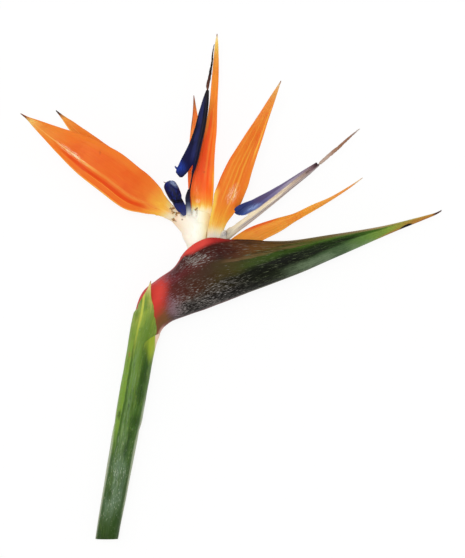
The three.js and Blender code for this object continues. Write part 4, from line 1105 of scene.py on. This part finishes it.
tongues = {
    "flower_a": {
        "piece": "leftTongue",
        "shaft": [(-10.5, 34.6, 14.2), (-10.2, 43.2, 15.2), (-9.6, 49.2, 16.6), (-8.4, 55.8, 18.2),
            (-7.3, 61.8, 19.2), (-5.8, 69, 20), (-3.8, 78, 20.4), (-1.7, 87, 20.5), (0.2, 97.8, 20.5),
            (1.7, 110.8, 20.5)],
        "wide": {0: 2.4, 0.05: 2.2, 0.12: 1.5, 0.18: 0.8, 0.24: 0.45, 0.33: 0.5, 0.4: 1.4, 0.5: 1.8,
            0.75: 1.6, 0.9: 1.3, 1: 0.7},
        "deep": {0: 2, 0.13: 1.5, 0.3: 1.1, 0.45: 1.9, 0.8: 1.7, 1: 0.9},
        "headFrom": 0.36,
        "wing": [(-16.4, 60.2, 24.9), (-13.3, 64.4, 24.2), (-9.8, 70.8, 23.3), (-6.6, 78.2, 22.6),
            (-3.9, 87.4, 21.9), (-2, 96.4, 21.4), (0, 104.2, 21), (1.4, 110.8, 20.7)],
        "wingHalf": {0: 2.3, 0.03: 3.8, 0.16: 4.8, 0.3: 4.3, 0.5: 3.2, 0.7: 2.5, 0.88: 1.9, 1: 0.9},
        "wingRoll": {0: 42, 0.4: 34, 1: 20},
        "hook": [(-15.8, 63.4, 24.2), (-17.2, 64.2, 24.4), (-18.2, 65.4, 24.6)],
        "barb": [(-10.3, 40.6, 15.4), (-11.3, 46.4, 16.1), (-10.1, 51.6, 17)],
        "stigma": [(1.7, 110.4, 20.5), (1.5, 113.4, 20.6), (2.4, 117.6, 20.8), (3.6, 124.2, 21.1),
            (4.2, 128, 21.4), (4.3, 131, 21.6), (4.8, 134.6, 21.8), (5.4, 138.1, 22)],
        "stigmaRadius": {0: 0.42, 0.1: 0.95, 0.35: 0.85, 0.6: 0.55, 1: 0.28},
        "styleColours": {0: "#d6c6a4", 0.55: "#8c6a54", 0.66: "#5c3424", 0.735: "#40221a", 0.78: "#1c0e0c",
            0.86: "#160c0a", 0.93: "#3a2a24", 0.98: "#7a6f68", 1: "#8b8178"},
    },
    "flower_b": {
        "piece": "rightTongue",
        "shaft": [(9.6, 20.4, 12.6), (16.6, 27, 12.8), (24, 32.4, 13), (33, 39, 13), (42, 45.9, 13),
            (51, 53.1, 13), (60, 60, 13), (68.2, 66.5, 13)],
        "wide": {0: 2.2, 0.12: 2.8, 0.3: 2.5, 0.45: 2.1, 0.7: 1.7, 0.88: 1.3, 1: 0.8},
        "deep": {0: 1.8, 0.15: 2.1, 0.5: 2.1, 0.85: 1.7, 1: 1.1},
        "headFrom": 0.12,
        "wing": [(17.2, 38, 16.4), (20.2, 38.9, 17), (24.3, 40.3, 17.4), (28.7, 42.1, 17), (34, 45.2, 16.2),
            (41.8, 50, 15.2), (50.8, 56, 14.4), (59.8, 62.2, 13.8), (67.2, 67.2, 13.2)],
        "wingHalf": {0: 0.5, 0.015: 2.1, 0.04: 3.5, 0.08: 4.4, 0.13: 4.8, 0.25: 4.2, 0.43: 3, 0.62: 2.1,
            0.85: 1.4, 1: 0.9},
        "wingRoll": {0: 42, 0.4: 36, 1: 20},
        "stigma": [(68.2, 66.5, 13), (70.2, 68.4, 13), (75, 72.6, 13.2), (79.8, 76.5, 13.5),
            (84, 80.5, 13.8), (88.2, 84.2, 14.2), (92.6, 87.9, 14.6)],
        "stigmaRadius": {0: 0.42, 0.04: 0.9, 0.3: 1.1, 0.6: 0.8, 1: 0.28},
        "styleColours": {0: "#dccbb4", 0.6: "#cdbb9f", 0.68: "#b39c8e", 0.73: "#b89f90", 0.79: "#a07a62",
            0.85: "#94684e", 0.92: "#956d58", 0.97: "#a48e84", 1: "#cbbfb6"},
    },
}
groove = {"inner": 1, "floor": 0.55, "styleRadius": 0.4}    # in every tongue's shaft, in mm


def leftTongueFinish():
    p = Paint("navyTongue")
    fibre = p.flowGrain(7, 22, 1, 4)
    fine = p.flowGrain(22, 60, 2, 3, 0.7)
    cloud = p.grain(p.place, 0.16, 3)
    p.skin = p.ramp(p.along, {
        0: "#f6f0e0", 0.03: "#e4e0d4", 0.06: "#a4a8ae", 0.095: "#545c74", 0.13: "#20243e", 0.2: "#120f1e",
        0.34: "#0f0b18", 0.4: "#0c0f3e", 0.5: "#0f1342", 0.62: "#10112a", 0.75: "#110f24", 0.88: "#0e0a18",
        1: "#100a0e"})
    bright = p.spot((-15.6, 64.6), (4.4, 5.4), 30, 0.8)
    p.lay("#2446b4", bright * (0.3 + p.smooth(fine, 0.45, 0.6) * 0.7))
    ridge = p.bandOf(p.across, 0.64, 0.1) * p.window(p.along, 0.4, 0.5, 0.85, 1)
    p.lay("#2c3266", ridge * (0.3 + fibre * 0.7))
    # painted shade: the right side of the head darkened where the groove and the style lie in shadow
    p.lay("#08050c", p.fall(p.across, 0.42, 0.56) * p.smooth(p.along, 0.36, 0.42) * 0.85)
    p.lay("#2c3580", p.smooth(fibre, 0.56, 0.7) * p.smooth(p.along, 0.38, 0.44) * 0.35)
    p.lay("#070616", p.smooth(cloud, 0.55, 0.75) * 0.5)
    return p.finish(0.42, p.bump(fibre * 0.5 + fine * 0.35, 0.35, 0.8), 0.12)


def rightTongueFinish():
    # a blue and lilac wing above a cream claw
    p = Paint("lilacTongue")
    fibre = p.flowGrain(5, 26, 3, 4)
    fine = p.flowGrain(14, 40, 4, 4, 0.7)
    fibrous = fibre - 0.5
    p.skin = p.ramp(p.along, {
        0: "#0a0f22", 0.15: "#10183c", 0.2: "#283f8a", 0.27: "#4262b4", 0.34: "#4c5ea2", 0.44: "#5c588c",
        0.58: "#8379a0", 0.72: "#a096ac", 0.84: "#9c8c98", 0.92: "#8a7078", 0.97: "#4e353c", 1: "#3a2428"})
    p.lay("#141c46", p.smooth(fibre, 0.52, 0.68) * p.fall(p.along, 0.4, 0.6) * 0.7)
    p.lay("#9ab2e6", p.spot((28, 40.6), (6.4, 2), 22, 0.9) * p.smooth(fine, 0.38, 0.56) * 0.9)
    p.lay("#1c2050", p.smooth(p.across, 0.74, 0.86) * p.fall(p.along, 0.3, 0.55) * 0.7)
    line = p.smooth(p.across + p.along * 0.22, 0.83, 0.88) * p.window(p.along, 0.35, 0.45, 0.85, 1)
    p.lay("#56486e", line * 0.7)
    wing = p.skin
    p.skin = p.ramp(p.along, {
        0: "#b8b2a4", 0.1: "#d8cdb4", 0.25: "#efdcb8", 0.5: "#ecd8b4", 0.7: "#cdb8a0", 0.86: "#a08a80",
        0.93: "#7d6468", 0.97: "#452c32", 1: "#2c181c"})
    p.lay("#fff4dc", p.smooth(fibre, 0.5, 0.64) * p.fall(p.along, 0.6, 0.8) * 0.7)
    lower = p.fall(p.across + fibrous * 0.03, 0.46, 0.5) * p.smooth(p.along, 0.1, 0.25)
    p.lay("#b9aba8", lower * 0.8)
    for seam in (0.48, 0.43):
        p.lay("#54444a", p.bandOf(p.across + fibrous * 0.02, seam, 0.013) * lower * 0.8)
    edge = p.across + fibrous * 0.05 + p.smooth(p.along, 0.24, 0.42) * 0.1
    p.lay(wing, p.smooth(edge, 0.68, 0.73) * p.smooth(p.along, 0.1, 0.14))
    p.lay("#4a4a58", p.spot((12.6, 25.4), (4, 1.8), 34, 0.9) * p.smooth(fine, 0.36, 0.58) * 0.85)
    return p.finish(0.45, p.bump(fibre * 0.6 + fine * 0.3, 0.4, 0.9), 0.15)


def styleFinish(name, colours):
    p = Paint(name)
    fibre = p.flowGrain(60, 6, 0, 4, 0.7)
    p.skin = p.ramp(p.along, colours)
    p.lay("#1a1212", p.smooth(fibre, 0.55, 0.72) * 0.4)
    p.lay("#e6dacd", p.smooth(p.grain(p.place, 0.9, 3), 0.6, 0.74) * 0.22)
    return p.finish(0.6, p.bump(fibre, 0.25, 0.9), 0.15)


def stamensFinish():
    p = Paint("mealyAnthers")
    dust = p.grain(p.place, 2.2, 4, 0.7)
    p.skin = p.mix("#efe3c2", "#cdb98c", p.smooth(dust, 0.48, 0.66))
    return p.finish(0.75, p.bump(dust, 0.2, 0.8))


def mapFlow(piece, path, reach):
    # lays the flow map on a fused piece: along its spine, and across to reach mm on either side
    stops = 240
    frames = [path.frame(i / stops) for i in range(stops + 1)]
    tree = kdtree.KDTree(stops + 1)
    for i, (origin, _, _, _) in enumerate(frames):
        tree.insert(origin, i)
    tree.balance()
    spots = []
    for vertex in piece.data.vertices:
        _, i, _ = tree.find(vertex.co / mm)
        origin, along, left, _ = frames[i]
        offset = vertex.co / mm - origin
        u = i / stops + offset.dot(along) / path.lengths[-1]
        spots.append((u, 0.5 + offset.dot(left) / (2 * reach)))
    layer = piece.data.uv_layers.new(name="flow")
    for loop in piece.data.loops:
        layer.data[loop.index].uv = spots[loop.vertex_index]


def makeTongue(flower, look, finish):
    path = Spine(look["shaft"])
    wide, deep = curves(look, "wide deep")
    head = look["headFrom"]
    opening = profile({0: 0, head: 0, head + 0.06: 1, 1: 1})

    def shaftRing(t):
        origin, _, left, up = path.frame(t)
        floor = wide(t) * (1 - (1 + groove["floor"]) * opening(t))
        halfOpen = min(deep(t) - 0.45, groove["inner"] + 0.15)
        ring = []
        for j in range(40):
            angle = 2 * math.pi * j / 40
            sideways, upwards = wide(t) * math.cos(angle), deep(t) * math.sin(angle)
            if abs(upwards) < halfOpen:
                sideways = min(sideways, floor)
            ring.append(origin + left * sideways + up * upwards)
        return ring

    parts = [tubeMesh("shaft", [shaftRing(i / 110) for i in range(111)], [finish])]
    farWing = []
    for i, (x, y, z) in enumerate(look["wing"]):
        plane = path.at(min(1, head + (1 - head) * i / (len(look["wing"]) - 1))).z
        farWing.append((x, y, 2 * plane - z))
    for spine, sign in ((look["wing"], 1), (farWing, -1)):
        wing = {"spine": spine, "half": look["wingHalf"], "thick": {0: 0.95, 1: 0.9},
                "cup": {0: 0.14 * sign, 1: 0},
                "roll": {t: turn * sign for t, turn in look["wingRoll"].items()}}
        parts.append(bladeMesh("wing", 70, 16, leafPoint(wing, 4 + sign, 0.35), [finish]))
    for name, size in (("hook", 0.9), ("barb", 1)):
        if name in look:
            spur = {"spine": look[name], "wide": {0: size, 0.5: size * 0.75, 1: size * 0.3}}
            parts.append(tubeMesh(name, stalkRings(spur, 12, 10), [finish]))
    piece = fuse(joined(look["piece"], parts), 0.26, 3)
    mapFlow(piece, path, 8)
    settle(piece, flower + "_tongue")


def makeStyle(flower, look):
    path = Spine(look["shaft"])
    head = look["headFrom"]
    run = [path.at(head + 0.03 + (0.94 - head) * i / 9) for i in range(10)] + list(look["stigma"][1:])
    total, tail = Spine(run).lengths[-1], Spine(look["stigma"]).lengths[-1]
    start = 1 - tail / total
    wide = {start + (1 - start) * t: radius for t, radius in look["stigmaRadius"].items()}
    wide.update({0: groove["styleRadius"], start: groove["styleRadius"]})

    def gnarl(t, angle):
        lump = noise.noise(Vector((math.cos(angle) * 0.7, math.sin(angle) * 0.7, t * 70)))
        return 0.22 * lump * min(1, max(0, (t - start) * 12))

    rings = stalkRings({"spine": run, "wide": wide}, 16, 220, gnarl)
    finish = styleFinish(look["piece"] + "StyleSkin", look["styleColours"])
    settle(tubeMesh(look["piece"] + "Style", rings, [finish]), flower + "_style")


def makeStamens(flower, look, finish):
    path, wide = Spine(look["shaft"]), profile(look["wide"])
    start = look["headFrom"] + 0.06

    def point(t, s, side):
        place = start + (0.8 - start) * t
        ripple = 0.16 * math.cos(math.pi * 5 * (s + 1)) - 0.16
        ends = min(1, 0.5 + 6 * t * (1 - t))
        height = max(1.25, wide(place) * 0.62) + side * (0.4 + ripple)
        origin, _, left, up = path.frame(place)
        return origin + left * height + up * s * (groove["inner"] - 0.2) * ends * 0.9

    settle(bladeMesh(look["piece"] + "Stamens", 60, 40, point, [finish]), flower + "_stamens")


anthers = stamensFinish()
for flower, tongueLook in tongues.items():
    makeTongue(flower, tongueLook, leftTongueFinish() if flower == "flower_a" else rightTongueFinish())
    makeStyle(flower, tongueLook)
    makeStamens(flower, tongueLook, anthers)
print("tongues, styles and stamens made")


# the short hooded petals over the nectaries

nectaries = {
    "flower_a_nectary_petal": {
        "piece": "leftNectaryPetal",
        "spine": [(-12.4, 36, 16.8), (-14.1, 39.8, 18.2), (-16.3, 43.8, 19.6), (-18.8, 49.2, 20.6),
            (-22.3, 56.3, 20.3)],
        "half": {0: 0.9, 0.1: 2, 0.24: 2.9, 0.36: 3, 0.43: 2.9, 0.52: 3.6, 0.75: 4, 0.9: 3.7, 0.965: 2.7,
            1: 0.9},
        "thick": {0: 1.8, 0.5: 1.4, 1: 1.1},
        "cup": {0: -0.3, 0.5: -0.55, 1: -0.5},
        "across": 30,
        "point": [(-22.4, 54, 19.7), (-23.7, 55.2, 19.5), (-25, 56, 19.3)],
        "fold": 0.42,
    },
    "flower_b_nectary_petal": {
        "piece": "rightNectaryPetal",
        "spine": [(11.4, 17.6, 16.4), (10.8, 21.4, 16.6), (10.9, 24.4, 16.8), (11.8, 27.2, 16.6)],
        "half": {0: 1.1, 0.5: 1.8, 0.8: 1.5, 1: 0.5},
        "thick": {0: 1.3, 1: 0.8},
        "cup": {0: -0.3, 1: -0.4},
        "across": 20,
    },
}


def nectaryFinish(name, pale):
    # pale is 1 for the petal that has lost its blue, and 0 for the other
    p = Paint(name)
    fibre = p.placeGrain((0.9, 0.3, 0.9))
    fine = p.grain(p.place, 1.6, 4, 0.7)
    p.skin = p.ramp(p.y * 0.03 - 0.9, {0.12: "#5c607c", 0.24: "#2c3266", 0.36: "#1c2254", 0.42: "#07081e",
                                       0.5: "#060828", 0.7: "#080e46", 0.9: "#101c5c"})
    p.lay("#18267c", p.smooth(fibre, 0.48, 0.64) * 0.6)
    p.lay("#04040c", p.bandOf(p.x * 0.87 + p.y * 0.5 - 3.6, -0.2, 1.4) * p.smooth(p.y, 42, 46) * 0.7)
    # a painted highlight, speckled pale blue, on top of the hood
    p.lay("#a9b8dc", p.spot((-19.4, 56), (4.6, 1.8), -46, 0.8) * p.smooth(fine, 0.38, 0.58) * 0.85)
    # painted shade across the hood's fold
    p.lay("#070818", p.spot((-16, 44.4), (3.6, 1.1), 20, 0.8) * 0.9)
    p.lay("#d79a4c", p.spot((-24.6, 56.6), (1.5, 1.1), 0, 0.6))
    smudge = p.spot((12.4, 25.2), (4, 1.5), 34, 0.9) * p.smooth(fine, 0.3, 0.6)
    p.lay("#d3cabb", pale * (1 - smudge * 0.75))
    return p.finish(0.4, p.bump(fibre * 0.6 + fine * 0.3, 0.35, 0.8), 0.14)


def makeNectaries():
    for seed, (node, look) in enumerate(nectaries.items()):
        base = leafPoint(look, 31 + seed, 0.25)
        fold = look.get("fold")

        def point(t, s, side):
            place = base(t, s, side)
            if fold:
                place.z -= 1.2 * math.exp(-((t - fold - 0.06 * s) / 0.04) ** 2)
            return place

        finish = nectaryFinish(look["piece"] + "Skin", seed)
        parts = [bladeMesh("hood", 70, look["across"], point, [finish])]
        if "point" in look:
            spur = {"spine": look["point"], "wide": {0: 0.7, 0.5: 0.4, 1: 0.12}}
            parts.append(tubeMesh("spur", stalkRings(spur, 10, 8), [finish]))
        settle(joined(look["piece"], parts), node)


makeNectaries()
print("nectary petals made")


# dry brown shreds left round the throat, where older organs have withered

shreds = {
    "seed": 11,
    # place, how many, and how far they scatter
    "spots": [((-19.9, 40.4), 5, 1.2), ((-19, 38), 4, 1.4), ((-17, 37.1), 4, 1.2), ((-19.4, 33.4), 3, 1.2),
        ((-5.4, 39.4), 3, 1.4)],
    "size": (0.7, 1.7),
    "sink": 0.05,
}


def shredFinish():
    p = Paint("dryShreds")
    grainy = p.grain(p.place, 1.8, 4, 0.7)
    p.skin = p.ramp(grainy, {0.3: "#6b4526", 0.45: "#a5753e", 0.58: "#cba066", 0.75: "#ecd3a2"})
    return p.finish(0.8, p.bump(grainy, 0.3, 1))


def topAt(x, y):
    # the highest point of the flower over a point of the table, in mm, or None beside it
    graph = bpy.context.evaluated_depsgraph_get()
    struck, place, *_ = bpy.context.scene.ray_cast(graph, Vector((x, y, 60)) * mm, Vector((0, 0, -1)))
    return place.z / mm if struck else None


def curlPoint(look):
    spine = Spine(look["spine"])
    half, thick, turn, lift = curves(look, "half thick roll cup")

    def point(t, s, side):
        origin, _, left, up = spine.frame(t, turn(t))
        return origin + left * half(t) * s + up * (half(t) * lift(t) * s * s + side * thick(t) / 2)

    return point


def makeShreds():
    chance = random.Random(shreds["seed"])
    finish = shredFinish()
    bpy.context.view_layer.update()
    bits = []
    for (x, y), count, spread in shreds["spots"]:
        for _ in range(count):
            length = chance.uniform(*shreds["size"])
            heading = chance.uniform(0, 2 * math.pi)
            left = x + chance.uniform(-spread, spread) * 0.6
            up = y + chance.uniform(-spread, spread) * 0.4
            step = Vector((math.cos(heading), math.sin(heading), 0)) * length
            ends = topAt(left, up), topAt(left + step.x, up + step.y)
            # one that would reach past the flower or down a step is left out
            if None not in ends and abs(ends[0] - ends[1]) < length:
                step.z = ends[1] - ends[0]
                bits.append((Vector((left, up, ends[0] - shreds["sink"])), step))
    parts = []
    for start, step in bits:
        arch = [start, start + step * 0.6 + Vector((0, 0, 0.4)), start + step + Vector((0, 0, 0.2))]
        curl = {"spine": arch, "half": {0: 0.25, 0.5: 0.42, 1: 0.08}, "thick": {0: 0.22, 1: 0.16},
                "cup": {0: 0.5, 1: 0.9}, "roll": {0: 0, 1: chance.uniform(-60, 60)}}
        parts.append(bladeMesh("shred", 8, 4, curlPoint(curl), [finish]))
    settle(joined("throatShreds", parts), None)


makeShreds()
print("shreds made")


# the table, which is not part of the flower

def makeTable():
    bpy.ops.mesh.primitive_plane_add(size=8)
    table = bpy.context.object
    table.name = "paleTable"
    p = Paint("whiteTable")
    glow = p.add("Emission", {}, {"Color": (1, 1, 1, 1), "Strength": studio["tableGlow"]})
    matt = p.add("BsdfDiffuse", {}, {"Color": (1, 1, 1, 1)})
    both = p.add("MixShader", {}, {0: studio["tableMatt"], 1: glow, 2: matt})
    p.node("OutputMaterial", {}, {"Surface": both})
    table.data.materials.append(p.material)


makeTable()
print("all pieces made")
